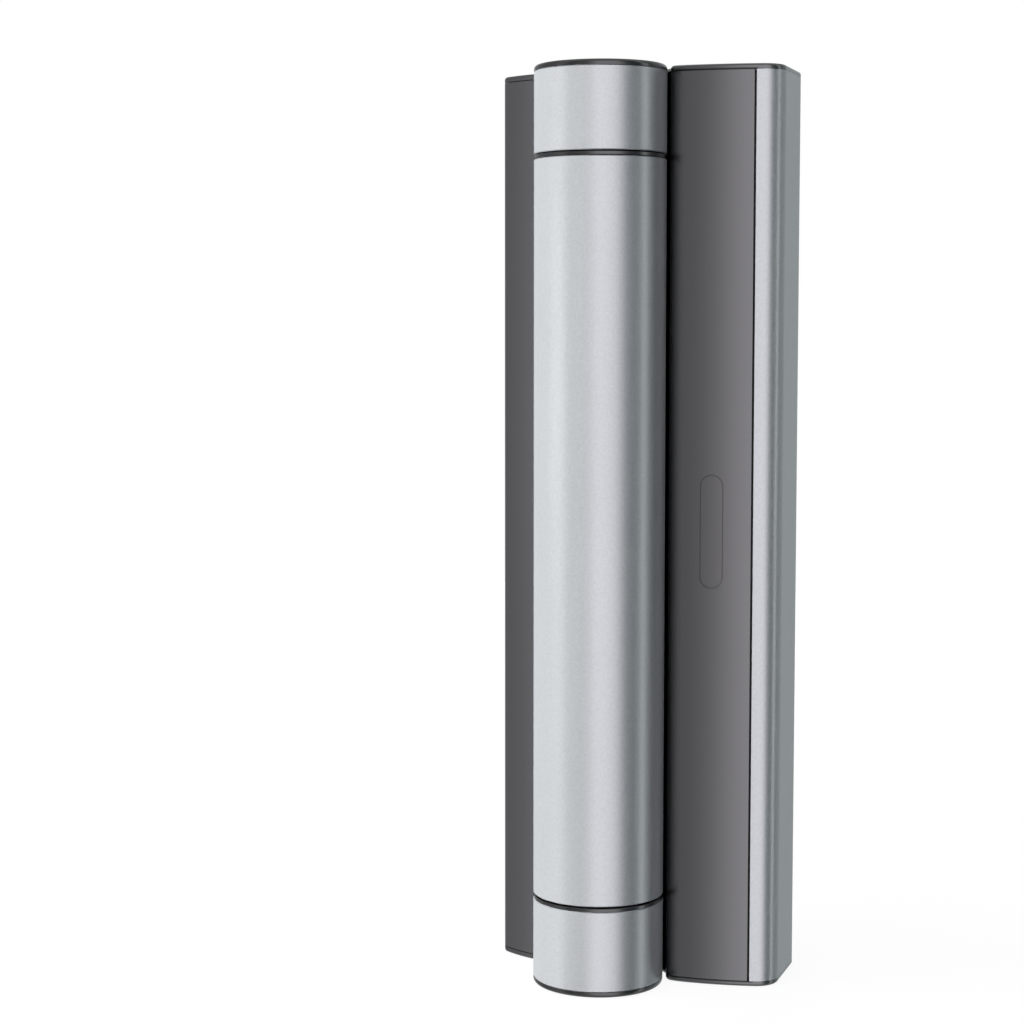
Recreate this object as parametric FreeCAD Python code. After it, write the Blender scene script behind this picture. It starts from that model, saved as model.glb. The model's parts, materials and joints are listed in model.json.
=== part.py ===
import FreeCAD, Part
import math
import os

from FreeCAD import Vector

# A motorised gate hinge: a turning barrel with a gearmotor inside, on a slim gate leaf,
# held between two knuckles on a deep post leaf. Millimetres, +Z up along the pivot axis.
# The shapes are drawn around the pivot axis, with z = 0 at the lowest face,
# and moved at the end so that the origin lies on the post leaf's mounting face.

# Barrel and knuckles
barrel_radius = 30.25
barrel_length = 339.0
barrel_wall = 5.0
seat_depth = 1.5
knuckle_height = 37.15
barrel_cap_height = 2.65
thrust_ring_height = 2.3
running_gap = 0.2
barrel_edge = 0.4
cap_edge_radius = 1.8

# Leaves
mounting_plane = 54.5
leaf_gap = 0.6
post_leaf_width = 50.1
post_leaf_inner = 6.0
post_relief = 3.0
post_leaf_front = 8.2
post_front_radius = 130.0
post_front_apex = 10.15
post_corner_radius = 11.0
small_corner = 1.6
knuckle_relief = 1.0
gate_leaf_side = 57.6
gate_leaf_inner = 10.0
gate_leaf_front = 18.05
gate_front_radius = 70.0
gate_front_apex = 15.05
gate_corner_radius = 4.5
profile_wall = 3.2
back_wall = 4.0
leaf_cap_height = 2.65
leaf_cap_edge = 1.5

# Covers
cover_wall = 2.2
cover_width = 38.0
cover_seam = 1.0
cover_fit = 0.15
cover_end_gap = 0.35
cover_return = 5.6
cover_leg_wall = 1.2
cover_leg_depth = 5.0
cover_barb = 0.9
cover_barb_height = 1.5
cover_hook_reach = 3.0
cover_ledge = 5.0
cover_ledge_wall = 1.8
cover_seal_depth = 1.3
cover_seal_fit = 0.08
gate_cover_wrap = 6.0
gate_hook_width = 6.0
gate_hook_reach = 4.0
panel_place = 0.53
panel_length = 52.0
panel_width = 10.3
panel_recess = 0.25

# Mounting holes
bolt_hole_radius = 4.5
bolt_outer_spacing = 320.0
bolt_inner_spacing = 240.0
post_bolt_inset = 19.15
gate_bolt_inset = 13.6

# Cap screws and their ports
port_radius = 3.4
port_hole_radius = 1.7
port_sink = 0.6
front_port_depth = 8.0
gate_port_angle = 129.0
cap_screw_radius = 2.0
cap_screw_head = 3.8
cap_screw_head_height = 2.0
cap_screw_length = 14.0
screw_recess = 0.1
screw_socket = 1.3

# Knuckle saddles and screws
saddle_angles = (37.0, 76.0)
knuckle_screw_angles = (44.0, 68.0)
knuckle_screw_radius = 3.0
knuckle_screw_head = 5.0
knuckle_screw_head_height = 6.0
knuckle_screw_depth = 14.0
knuckle_screw_margin = 5.8
knuckle_screw_pitch = 13.5
knuckle_screw_play = 0.2
spot_face_depth = 0.4
hex_socket = 2.5
hex_socket_depth = 3.0

# Pivot pin
pin_radius = 10.0
pin_bore = 4.5
pin_bore_run = 1.0
pin_flange_radius = 17.0
pin_flange_height = 5.0
pin_reach = 24.0
pin_screw_circle = 13.3
pin_screw_radius = 2.0
pin_screw_length = 14.0
cable_duct_radius = 3.5
cable_duct_angle = 56.0

# Pockets under the barrel caps
pocket_wall = 8.0
pocket_depth = 12.0
cap_rim_wall = 1.8
cap_rim_depth = 3.5

# Thrust rings
ring_setback = 0.8
ring_edge = 0.3
ring_neck_height = 0.6
ring_neck_setback = 1.2
thrust_ring_width = 6.7

# Drive shaft
hex_flats = 17.0
shaft_thread_radius = 6.0
shaft_washer_radius = 11.5
shaft_washer_height = 2.0
shaft_washer_play = 0.2
shaft_nut_flats = 18.0
shaft_nut_height = 6.0
journal_radius = 11.0
bush_wall = 2.0
bush_flange_radius = 16.0
bush_flange_height = 1.2
bush_clearance = 0.03
carrier_margin = 5.5
carrier_height = 5.0

# Planetary stage
ring_gear_wall = 3.0
sun_teeth = 15
planet_teeth = 15
planet_count = 3
gear_width = 14.0
pressure_angle = math.radians(20.0)
tooth_play = 0.07
gear_dedendum = 1.25
ring_addendum = 0.7
planet_pin_radius = 2.5
planet_bore_clearance = 0.05
planet_side_gap = 0.6
carrier_plate_height = 2.0
carrier_plate_play = 1.0
sun_shaft_radius = 4.0
sun_socket_depth = 10.0
key_width = 5.0
key_height = 1.0

# Gearmotor
gearbox_play = 4.0
gearbox_length = 92.0
gearbox_foot = 5.0
gearbox_stages = 4
stage_groove = 0.6
motor_play = 4.6
motor_length = 88.0
brake_play = 5.5
brake_length = 26.0
encoder_play = 8.0
encoder_length = 12.0
encoder_slot_depth = 5.0
encoder_slot_half = 4.0
encoder_slot_margin = 3.0
motor_flange_height = 8.0
flange_screw_edge = 6.5
flange_screw_bite = 8.0
flange_screw_radius = 2.0
flange_screw_head = 3.6
damper_length = 10.0
damper_setback = 6.0
damper_notch = 8.0
bearing_housing_height = 13.0
circlip_wall = 3.2
circlip_height = 1.5
circlip_seat = 1.2
circlip_groove = 1.0
circlip_gap = 11.0
eyelet_radius = 2.4
eyelet_hole = 1.0

# Electronics in the post leaf
board_thickness = 1.6
board_length = 190.0
board_plane = 37.0
board_rib = 2.0
board_side_play = 0.3
board_stop_height = 6.0
board_stop_grip = 4.0
board_stop_inset = 6.0
groove_depth = 2.4
groove_lip = 1.3
groove_play = 0.15
terminal_poles = 8
terminal_pitch = 5.0
terminal_width = 9.0
terminal_depth = 9.0
terminal_place = 14.0
terminal_entry = 3.0
terminal_floor = 1.5
terminal_screw = 1.6
relay_width = 11.0
relay_depth = 14.0
relay_length = 18.0
relay_pitch = 22.0
relay_place = 80.0
capacitor_radius = 6.2
capacitor_length = 16.0
capacitor_pitch = 20.0
capacitor_place = 140.0
component_edge = 0.8
grommet_radius = 8.0
grommet_bore = 4.0
grommet_neck = 6.5
grommet_lip = 1.6
grommet_setback = 0.2
grommet_offset = 11.0
grommet_above_bolt = 20.0

# Small clearance between pieces that seat in each other
seat_fit = 0.05

# Heights worked out from the bottom up
joint_gap = thrust_ring_height + running_gap
lower_knuckle_z = barrel_cap_height
barrel_z = lower_knuckle_z + knuckle_height + joint_gap
barrel_top = barrel_z + barrel_length
upper_knuckle_z = barrel_top + joint_gap
upper_knuckle_top = upper_knuckle_z + knuckle_height
total_height = upper_knuckle_top + barrel_cap_height
middle_z = total_height / 2
leaf_z = leaf_cap_height
leaf_top = total_height - leaf_cap_height

# Places worked out across the leaf
post_x = barrel_radius + leaf_gap
post_side = post_x + post_leaf_width
post_apex_x = post_x + post_front_apex
post_bolt_x = post_x + post_bolt_inset
gate_bolt_x = -(gate_leaf_side - gate_bolt_inset)
relief_radius = barrel_radius + knuckle_relief
post_hollow = barrel_radius + post_relief
barrel_bore = barrel_radius - barrel_wall
pocket_radius = barrel_radius - pocket_wall
gearbox_radius = barrel_bore - gearbox_play
motor_radius = barrel_bore - motor_play
brake_radius = barrel_bore - brake_play
encoder_radius = barrel_bore - encoder_play
flange_screw_circle = gearbox_radius - flange_screw_edge
seat_radius = barrel_bore + seat_depth
seat_part_radius = seat_radius - seat_fit
web_front = post_leaf_front + cover_return + cover_fit
cover_edge_x = post_x + cover_width
strip_x = cover_edge_x + cover_seam

# Heights inside the barrel
lower_clip_z = barrel_z + circlip_seat
lower_housing_z = lower_clip_z + circlip_height
lower_housing_top = lower_housing_z + bearing_housing_height
carrier_z = lower_housing_top + bush_flange_height + running_gap
carrier_top = carrier_z + carrier_height
gears_z = carrier_top + planet_side_gap
gears_top = gears_z + gear_width
carrier_plate_z = gears_top + planet_side_gap
motor_flange_z = carrier_plate_z + carrier_plate_height + planet_side_gap
gearbox_z = motor_flange_z + motor_flange_height
motor_z = gearbox_z + gearbox_length
brake_z = motor_z + motor_length
encoder_z = brake_z + brake_length
upper_clip_z = barrel_top - circlip_seat - circlip_height
upper_housing_z = upper_clip_z - bearing_housing_height

# Gear sizes: the ring gear fills the barrel's seat, and the module follows from it
ring_teeth = sun_teeth + 2 * planet_teeth
gear_module = (seat_radius - ring_gear_wall) / (ring_teeth / 2 + gear_dedendum)
sun_pitch = gear_module * sun_teeth / 2
planet_pitch = gear_module * planet_teeth / 2
ring_pitch = gear_module * ring_teeth / 2
planet_orbit = sun_pitch + planet_pitch
carrier_radius = planet_orbit + carrier_margin
carrier_plate_bore = sun_pitch + gear_module + carrier_plate_play
planet_angles = [90 + 360 * i / planet_count for i in range(planet_count)]

gate_corner_drop = gate_front_radius - gate_corner_radius
gate_corner_x = -gate_leaf_side + gate_corner_radius
gate_corner_y = gate_leaf_front + gate_front_radius - math.sqrt(
    gate_corner_drop ** 2 - (gate_corner_x + gate_front_apex) ** 2)
gate_wrap_y = gate_corner_y + gate_cover_wrap
board_z = middle_z - board_length / 2
pocket_floor = lower_knuckle_z + pocket_depth
pocket_roof = upper_knuckle_top - pocket_depth
cap_port_reach = port_radius - port_sink
origin = Vector(post_bolt_x, mounting_plane, middle_z)


def cut_all(shape, tools):
    for tool in tools:
        shape = shape.cut(tool)
    return shape


def cyl(radius, z0, z1, x=0.0, y=0.0):
    return Part.makeCylinder(radius, z1 - z0, Vector(x, y, z0))


def tube(outer, inner, z0, z1, x=0.0, y=0.0):
    return cyl(outer, z0, z1, x, y).cut(cyl(inner, z0 - 1, z1 + 1, x, y))


def box(x0, x1, y0, y1, z0, z1):
    return Part.makeBox(x1 - x0, y1 - y0, z1 - z0, Vector(x0, y0, z0))


def hexagon(flats, z0, z1):
    corner = flats / math.sqrt(3)
    turns = [math.radians(60 * i + 30) for i in range(7)]
    points = [Vector(corner * math.cos(a), corner * math.sin(a), z0) for a in turns]
    return Part.Face(Part.makePolygon(points)).extrude(Vector(0, 0, z1 - z0))


def along(radius, start, end):
    # A round bar or hole from one point to another
    way = Vector(end) - Vector(start)
    return Part.makeCylinder(radius, way.Length, Vector(start), way)


def cone_screw(x, y, z, up, shank, head, head_height, length, socket):
    # A countersunk screw whose head is flush with z; its shank goes the other way from up
    way = Vector(0, 0, -up)
    top = Vector(x, y, z)
    sink = Part.makeCone(head, shank, head_height, top, way)
    screw = sink.fuse(Part.makeCylinder(shank, length, top, way))
    drive = Part.makeCylinder(socket, head_height * 0.6, top, way)
    return screw.cut(drive).removeSplitter()


def edges_at(shape, z):
    # The edges that lie flat at one height
    return [e for e in shape.Edges if abs(e.BoundBox.ZMin - z) < 0.01 and abs(e.BoundBox.ZMax - z) < 0.01]


def chamfered(shape, size, heights, radius):
    # Chamfers the round edges of one radius at the given heights
    picked = []
    for edge in shape.Edges:
        curve = edge.Curve
        if not isinstance(curve, Part.Circle):
            continue
        if abs(curve.Radius - radius) > 0.01:
            continue
        if min(abs(edge.CenterOfMass.z - z) for z in heights) < 0.01:
            picked.append(edge)
    return shape.makeChamfer(size, picked)


def arc_point(centre, radius, angle):
    return Vector(centre.x + radius * math.cos(angle), centre.y + radius * math.sin(angle), 0)


def arc(centre, radius, start, end):
    points = [arc_point(centre, radius, a) for a in (start, (start + end) / 2, end)]
    return Part.Arc(*points).toShape()


def line(a, b):
    return Part.makeLine(a, b)


def face_of(edges):
    return Part.Face(Part.Wire(Part.__sortEdges__(edges)))


def crossing(centre, bow, hollow, side):
    # Where a circle around the pivot axis crosses a circle around another centre
    reach = centre.Length
    along_line = (reach ** 2 + hollow ** 2 - bow ** 2) / (2 * reach)
    away = math.sqrt(hollow ** 2 - along_line ** 2)
    unit = Vector(centre).normalize()
    return unit * along_line + Vector(-unit.y, unit.x, 0) * away * side


def turn_of(point, centre):
    return math.atan2(point.y - centre.y, point.x - centre.x)


def post_outline(inset=0.0):
    # The post leaf's section: a bowed front, one large rounded corner and a hollow around the barrel
    left = post_leaf_inner + inset
    right = post_side - inset
    back = mounting_plane - inset
    bow = post_front_radius - inset
    hollow = post_hollow + inset
    round_corner = post_corner_radius - inset
    axis = Vector(0, 0, 0)
    bow_centre = Vector(post_apex_x, post_leaf_front + post_front_radius, 0)
    corner_x = right - round_corner
    drop = math.sqrt((bow - round_corner) ** 2 - (corner_x - bow_centre.x) ** 2)
    corner_centre = Vector(corner_x, bow_centre.y - drop, 0)
    bow_end = turn_of(corner_centre, bow_centre)
    edge_centre = crossing(bow_centre, bow - small_corner, hollow + small_corner, -1)
    bow_start = turn_of(edge_centre, bow_centre)
    hollow_start = turn_of(edge_centre, axis)
    hollow_end = math.acos(left / hollow)
    front = arc(bow_centre, bow, bow_start, bow_end)
    corner = arc(corner_centre, round_corner, bow_end, 0.0)
    edge = arc(edge_centre, small_corner, hollow_start - math.pi, bow_start)
    inner = arc(axis, hollow, hollow_start, hollow_end)
    side_low = Vector(right, corner_centre.y, 0)
    side_high = Vector(right, back, 0)
    back_left = Vector(left, back, 0)
    inner_low = arc_point(axis, hollow, hollow_end)
    straight = [line(side_low, side_high), line(side_high, back_left), line(back_left, inner_low)]
    return face_of([front, corner, edge, inner] + straight)


def gate_outline(inset=0.0, relief=relief_radius):
    # The gate leaf's section: a bowed front that meets a hollow turned around the knuckles
    left = -gate_leaf_side + inset
    right = -gate_leaf_inner - inset
    back = mounting_plane - inset
    bow = gate_front_radius - inset
    hollow = relief + inset
    corner_r = gate_corner_radius - inset
    axis = Vector(0, 0, 0)
    bow_centre = Vector(-gate_front_apex, gate_leaf_front + gate_front_radius, 0)
    corner_x = left + corner_r
    drop = math.sqrt((bow - corner_r) ** 2 - (corner_x - bow_centre.x) ** 2)
    corner_centre = Vector(corner_x, bow_centre.y - drop, 0)
    bow_far = turn_of(corner_centre, bow_centre)
    meet = crossing(bow_centre, bow, hollow, 1)
    bow_near = turn_of(meet, bow_centre)
    hollow_start = turn_of(meet, axis)
    hollow_end = math.acos(right / hollow)
    inner_low = arc_point(axis, hollow, hollow_end)
    inner_high = Vector(right, back, 0)
    side_high = Vector(left, back, 0)
    side_low = Vector(left, corner_centre.y, 0)
    curved = [arc(bow_centre, bow, bow_far, bow_near), arc(corner_centre, corner_r, -math.pi, bow_far)]
    curved.append(arc(axis, hollow, hollow_start, hollow_end))
    straight = [line(inner_low, inner_high), line(inner_high, side_high), line(side_high, side_low)]
    return face_of(curved + straight)


def raised(section, z0, z1):
    # Extrudes a section, and joins its faces where it has several that touch
    solids = [face.translated(Vector(0, 0, z0)).extrude(Vector(0, 0, z1 - z0)) for face in section.Faces]
    if len(solids) == 1:
        return solids[0]
    return solids[0].multiFuse(solids[1:]).removeSplitter()


def square(x0, x1, y0, y1):
    return Part.makePlane(x1 - x0, y1 - y0, Vector(x0, y0, 0))


def disc(radius, x, y):
    return Part.Face(Part.Wire(Part.makeCircle(radius, Vector(x, y, 0))))


def band(outline, depth, thickness):
    # The strip of a leaf's section between two depths under its outline
    return outline(depth).cut(outline(depth + thickness))


# Screw ports: in the leaf's corners and on the gate leaf's hollow, where the end caps are screwed on
back_port_y = mounting_plane - back_wall - cap_port_reach
post_ports = [
    (post_side - profile_wall - cap_port_reach, back_port_y),
    (post_leaf_inner + profile_wall + cap_port_reach, back_port_y),
    (post_side - profile_wall - cap_port_reach, post_leaf_front + profile_wall + front_port_depth),
]
gate_port_turn = math.radians(gate_port_angle)
gate_port_circle = relief_radius + profile_wall + cap_port_reach
gate_ports = [
    (-gate_leaf_side + profile_wall + cap_port_reach, back_port_y),
    (-gate_leaf_inner - profile_wall - cap_port_reach, back_port_y),
    (gate_port_circle * math.cos(gate_port_turn), gate_port_circle * math.sin(gate_port_turn)),
]
# Solid corners between the back ports and the walls
port_corner_y = mounting_plane - back_wall + 0.5
post_port_corners = [
    (post_side - profile_wall + 0.5, port_corner_y),
    (post_leaf_inner + profile_wall - 0.5, port_corner_y),
]
gate_port_corners = [
    (-gate_leaf_side + profile_wall - 0.5, port_corner_y),
    (-gate_leaf_inner - profile_wall + 0.5, port_corner_y),
]
lower_screw_z = barrel_z - joint_gap - knuckle_screw_margin
upper_screw_z = upper_knuckle_z + knuckle_screw_margin
knuckle_screw_heights = [
    lower_screw_z, lower_screw_z - knuckle_screw_pitch,
    upper_screw_z, upper_screw_z + knuckle_screw_pitch,
]
bolt_heights = []
for bolt_spacing in (bolt_outer_spacing, bolt_inner_spacing):
    bolt_heights += [middle_z - bolt_spacing / 2, middle_z + bolt_spacing / 2]
grommet_x = post_bolt_x + grommet_offset
grommet_z = middle_z - bolt_outer_spacing / 2 + grommet_above_bolt
duct_z = upper_screw_z + knuckle_screw_pitch / 2
screw_seat = post_hollow + profile_wall - spot_face_depth


def with_ports(section, ports, corners):
    for x, y in ports:
        section = section.fuse(disc(port_radius, x, y))
    for port, corner in zip(ports, corners):
        xs = sorted((port[0], corner[0]))
        ys = sorted((port[1], corner[1]))
        section = section.fuse(square(xs[0], xs[1], ys[0], ys[1]))
    for x, y in ports:
        section = section.cut(disc(port_hole_radius, x, y))
    return section.removeSplitter()


def bolt_holes(x):
    start = mounting_plane - back_wall - 2
    return [along(bolt_hole_radius, (x, start, z), (x, mounting_plane + 1, z)) for z in bolt_heights]


def board_grooves():
    # Two pairs of lips, on a rib of the back wall and on the side wall, that hold the control board's edges
    half = board_thickness / 2 + groove_play
    left = post_x + profile_wall
    right = post_side - profile_wall
    rib_front = board_plane - half - groove_lip
    lips = [square(left - board_rib, left, rib_front, mounting_plane - back_wall + 0.5)]
    for y0 in (board_plane - half - groove_lip, board_plane + half):
        lips.append(square(left - 0.5, left + groove_depth, y0, y0 + groove_lip))
        lips.append(square(right - groove_depth, right + 0.5, y0, y0 + groove_lip))
    return lips


def post_leaf_profile():
    hollow = square(0, post_side, 0, mounting_plane - back_wall)
    section = post_outline().cut(post_outline(profile_wall).common(hollow))
    section = section.cut(square(0, post_x + 2 * profile_wall, 0, web_front))
    section = section.cut(square(post_x + profile_wall, strip_x, 0, post_leaf_front + 2 * profile_wall))
    ledge = band(post_outline, cover_wall + cover_fit, cover_ledge_wall)
    ledge = ledge.common(square(cover_edge_x - cover_ledge, strip_x + 1.5, 0, mounting_plane / 2))
    section = with_ports(section.multiFuse([ledge] + board_grooves()), post_ports, post_port_corners)
    profile = raised(section, leaf_z, leaf_top)
    cuts = bolt_holes(post_bolt_x)
    deep = mounting_plane - 2 * back_wall
    outside = mounting_plane + 1
    cuts.append(along(grommet_neck, (grommet_x, deep, grommet_z), (grommet_x, outside, grommet_z)))
    hole = knuckle_screw_radius + knuckle_screw_play
    inside = post_hollow + 2 * profile_wall
    for z in knuckle_screw_heights:
        for angle in knuckle_screw_angles:
            cuts.append(spoke(hole, angle, z, post_hollow - 1, inside))
            cuts.append(spoke(knuckle_screw_head + knuckle_screw_play, angle, z, screw_seat, inside))
    cuts.append(spoke(cable_duct_radius, cable_duct_angle, duct_z, post_hollow - 1, inside))
    return cut_all(profile, cuts)


def pill(x, z, width, length, y0, y1):
    # An upright slot shape with round ends, through a wall that faces the front
    radius = width / 2
    half = length / 2 - radius
    middle = box(x - radius, x + radius, y0, y1, z - half, z + half)
    ends = [along(radius, (x, y0, z + side * half), (x, y1, z + side * half)) for side in (-1, 1)]
    return middle.multiFuse(ends).removeSplitter()


def post_leaf_cover():
    # A bowed cover that wraps the front edge, with a leg inside the web and a barbed hook under the ledge
    shell = band(post_outline, 0, cover_wall)
    front = square(0, cover_edge_x, 0, post_leaf_front + cover_return)
    section = shell.common(front)
    leg_x = math.sqrt((post_hollow + profile_wall) ** 2 - web_front ** 2) + cover_fit
    leg_top = post_leaf_front + cover_wall / 2
    section = section.fuse(square(leg_x, leg_x + cover_leg_wall, leg_top + 0.5, web_front + cover_leg_depth))
    hook_x = cover_edge_x - cover_ledge - cover_fit
    hook_y = post_leaf_front + cover_wall + cover_ledge_wall + cover_hook_reach
    hook_end = hook_y + cover_barb_height
    section = section.fuse(square(hook_x - cover_leg_wall, hook_x, leg_top + 1.0, hook_end))
    section = section.fuse(square(hook_x - cover_leg_wall, hook_x + cover_barb, hook_y, hook_end))
    cover = raised(section.removeSplitter(), leaf_z + cover_end_gap, leaf_top - cover_end_gap)
    sunk = raised(band(post_outline, -0.1, 0.1 + panel_recess), leaf_z, leaf_top)
    panel_x = post_x + cover_width * panel_place
    place = pill(panel_x, middle_z, panel_width, panel_length, 0, post_leaf_front + cover_return)
    return cover.cut(sunk.common(place))


def cover_seal():
    # A rubber strip on the ledge that closes the seam between the cover and the leaf's corner
    strip = band(post_outline, cover_seal_depth, cover_wall + cover_fit - cover_seal_depth)
    seam = square(cover_edge_x + cover_seal_fit, strip_x - cover_seal_fit, 0, mounting_plane / 2)
    return raised(strip.common(seam), leaf_z + cover_end_gap, leaf_top - cover_end_gap)


def cap_with_screws(outline, ports, z0, up):
    # A flat end cap with a rounded rim and countersunk holes
    z1 = z0 + leaf_cap_height
    cap = raised(outline(), z0, z1)
    face_z = z1 if up > 0 else z0
    cap = cap.makeFillet(leaf_cap_edge, edges_at(cap, face_z))
    for x, y in ports:
        start = face_z - up * screw_recess
        cap = cap.cut(cyl(cap_screw_radius + seat_fit, z0 - 1, z1 + 1, x, y))
        head = cap_screw_head + seat_fit
        shank = cap_screw_radius + seat_fit
        sink = Part.makeCone(head, shank, cap_screw_head_height, Vector(x, y, start), Vector(0, 0, -up))
        mouth = Part.makeCylinder(head, screw_recess + 1, Vector(x, y, start), Vector(0, 0, up))
        cap = cap.cut(sink).cut(mouth)
    return cap


def cap_screws(ports):
    screws = []
    for x, y in ports:
        for face_z, up in ((0.0, -1), (total_height, 1)):
            z = face_z - up * screw_recess
            shank = port_hole_radius - seat_fit
            screws.append(cone_screw(x, y, z, up, shank, cap_screw_head, cap_screw_head_height,
                                     cap_screw_length, screw_socket))
    return Part.makeCompound(screws)


def saddle(z0, z1):
    # The part of a knuckle that fills the post leaf's hollow, between two angles
    ring = tube(post_hollow - seat_fit, barrel_radius - 1, z0, z1)
    start, end = [math.radians(angle) for angle in saddle_angles]
    far = [arc_point(Vector(0, 0, 0), 2 * post_hollow, turn) for turn in (start, (start + end) / 2, end)]
    corners = [Vector(p.x, p.y, z0) for p in [Vector(0, 0, 0)] + far]
    return ring.common(Part.Face(Part.makePolygon(corners + corners[:1])).extrude(Vector(0, 0, z1 - z0)))


def spoke(radius, angle, z, start, end):
    # A round bar or hole that points away from the pivot axis
    way = arc_point(Vector(0, 0, 0), 1.0, math.radians(angle))
    return along(radius, (way.x * start, way.y * start, z), (way.x * end, way.y * end, z))


def knuckle(z0, pocket_z0, pocket_z1):
    z1 = z0 + knuckle_height
    shape = chamfered(cyl(barrel_radius, z0, z1), barrel_edge, (z0, z1), barrel_radius)
    shape = shape.fuse(saddle(z0, z1)).cut(cyl(pocket_radius, pocket_z0, pocket_z1))
    hole = knuckle_screw_radius + seat_fit
    for z in knuckle_screw_heights:
        if z0 < z < z1:
            for angle in knuckle_screw_angles:
                shape = shape.cut(spoke(hole, angle, z, post_hollow - knuckle_screw_depth, post_hollow + 1))
    return shape


def upper_knuckle():
    shape = knuckle(upper_knuckle_z, pocket_roof, upper_knuckle_top + 1)
    shape = shape.cut(cyl(pin_radius + seat_fit, upper_knuckle_z - 1, pocket_roof + 1))
    screw_end = pocket_roof - pin_screw_length
    for x, y in pin_screw_places():
        shape = shape.cut(cyl(pin_screw_radius + seat_fit, screw_end, pocket_roof + 1, x, y))
    return shape.cut(spoke(cable_duct_radius, cable_duct_angle, duct_z, pin_radius - 1, post_hollow + 1))


def lower_knuckle():
    shape = knuckle(lower_knuckle_z, lower_knuckle_z - 1, pocket_floor)
    return shape.cut(hexagon(hex_flats + 2 * seat_fit, pocket_floor - 1, barrel_z))


def knuckle_screws():
    screws = []
    top = screw_seat + knuckle_screw_head_height
    tip = post_hollow - knuckle_screw_depth + 1.0
    for z in knuckle_screw_heights:
        for angle in knuckle_screw_angles:
            shank = spoke(knuckle_screw_radius, angle, z, tip, screw_seat + 1)
            head = spoke(knuckle_screw_head, angle, z, screw_seat, top)
            socket = spoke(hex_socket, angle, z, top - hex_socket_depth, top + 1)
            screws.append(shank.fuse(head).cut(socket).removeSplitter())
    return Part.makeCompound(screws)


def barrel_cap(z0, up):
    z1 = z0 + barrel_cap_height
    face_z, seat_z = (z1, z0) if up > 0 else (z0, z1)
    disk = cyl(barrel_radius, z0, z1)
    disk = disk.makeFillet(cap_edge_radius, edges_at(disk, face_z))
    outer = pocket_radius - seat_fit
    low, high = sorted((seat_z, seat_z - up * cap_rim_depth))
    return disk.fuse(tube(outer, outer - cap_rim_wall, low, high)).removeSplitter()


def thrust_ring(z0):
    # A flat ring with a thin neck on top, which leaves a narrow shadow line
    z1 = z0 + thrust_ring_height
    neck_z = z1 - ring_neck_height
    outer = barrel_radius - ring_setback
    inner = outer - thrust_ring_width
    ring = chamfered(tube(outer, inner, z0, neck_z), ring_edge, (z0, neck_z), outer)
    return ring.fuse(tube(outer - ring_neck_setback, inner, neck_z - 0.5, z1)).removeSplitter()


def pin_screw_places():
    turns = [math.radians(360 * i / 3 + 90) for i in range(3)]
    return [(pin_screw_circle * math.cos(a), pin_screw_circle * math.sin(a)) for a in turns]


def pivot_pin():
    low = barrel_top - pin_reach
    top = pocket_roof + pin_flange_height
    pin = cyl(pin_radius, low, top).fuse(cyl(pin_flange_radius, pocket_roof, top))
    pin = chamfered(pin, 1.0, (low,), pin_radius)
    pin = pin.cut(cyl(pin_bore, low - 1, duct_z + cable_duct_radius + pin_bore_run))
    pin = pin.cut(spoke(cable_duct_radius, cable_duct_angle, duct_z, 0, pin_radius + 1))
    for x, y in pin_screw_places():
        pin = pin.cut(cyl(pin_screw_radius + seat_fit, low, top + 1, x, y))
        head = cap_screw_head + seat_fit
        sink = Part.makeCone(head, pin_screw_radius + seat_fit, cap_screw_head_height, Vector(x, y, top),
                             Vector(0, 0, -1))
        pin = pin.cut(sink)
    return pin


def pivot_pin_screws():
    top = pocket_roof + pin_flange_height
    screws = []
    for x, y in pin_screw_places():
        screws.append(cone_screw(x, y, top, 1, pin_screw_radius, cap_screw_head, cap_screw_head_height,
                                 pin_screw_length, screw_socket))
    return Part.makeCompound(screws)


def drive_shaft():
    knuckle_top = lower_knuckle_z + knuckle_height
    stud_z = pocket_floor - shaft_washer_height - shaft_nut_height - 2.0
    stud = chamfered(cyl(shaft_thread_radius, stud_z, pocket_floor + 1), 0.8, (stud_z,), shaft_thread_radius)
    shaft = stud.multiFuse([
        hexagon(hex_flats, pocket_floor + 0.3, knuckle_top),
        cyl(journal_radius, knuckle_top, carrier_z + 1),
        cyl(carrier_radius, carrier_z, carrier_top),
    ]).removeSplitter()
    for x, y in planet_places():
        shaft = shaft.cut(cyl(planet_pin_radius + seat_fit, carrier_z + 1, carrier_top + 1, x, y))
    return shaft


def shaft_washer():
    low = pocket_floor - shaft_washer_height
    return tube(shaft_washer_radius, shaft_thread_radius + shaft_washer_play, low, pocket_floor)


def shaft_nut():
    top = pocket_floor - shaft_washer_height
    nut = hexagon(shaft_nut_flats, top - shaft_nut_height, top)
    return nut.cut(cyl(shaft_thread_radius + seat_fit, top - shaft_nut_height - 1, top + 1))


def planet_places():
    places = []
    for angle in planet_angles:
        turn = math.radians(angle)
        places.append((planet_orbit * math.cos(turn), planet_orbit * math.sin(turn)))
    return places


def planet_pins():
    top = carrier_plate_z + carrier_plate_height
    return Part.makeCompound([cyl(planet_pin_radius, carrier_z + 1, top, x, y) for x, y in planet_places()])


def carrier_plate():
    top = carrier_plate_z + carrier_plate_height
    plate = tube(carrier_radius, carrier_plate_bore, carrier_plate_z, top)
    hole = planet_pin_radius + seat_fit
    holes = [cyl(hole, carrier_plate_z - 1, top + 1, x, y) for x, y in planet_places()]
    return cut_all(plate, holes)


def involute_angle(base, radius):
    # How far an involute has turned from its foot on the base circle
    if radius <= base:
        return 0.0
    roll = math.sqrt((radius / base) ** 2 - 1)
    return roll - math.atan(roll)


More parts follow.
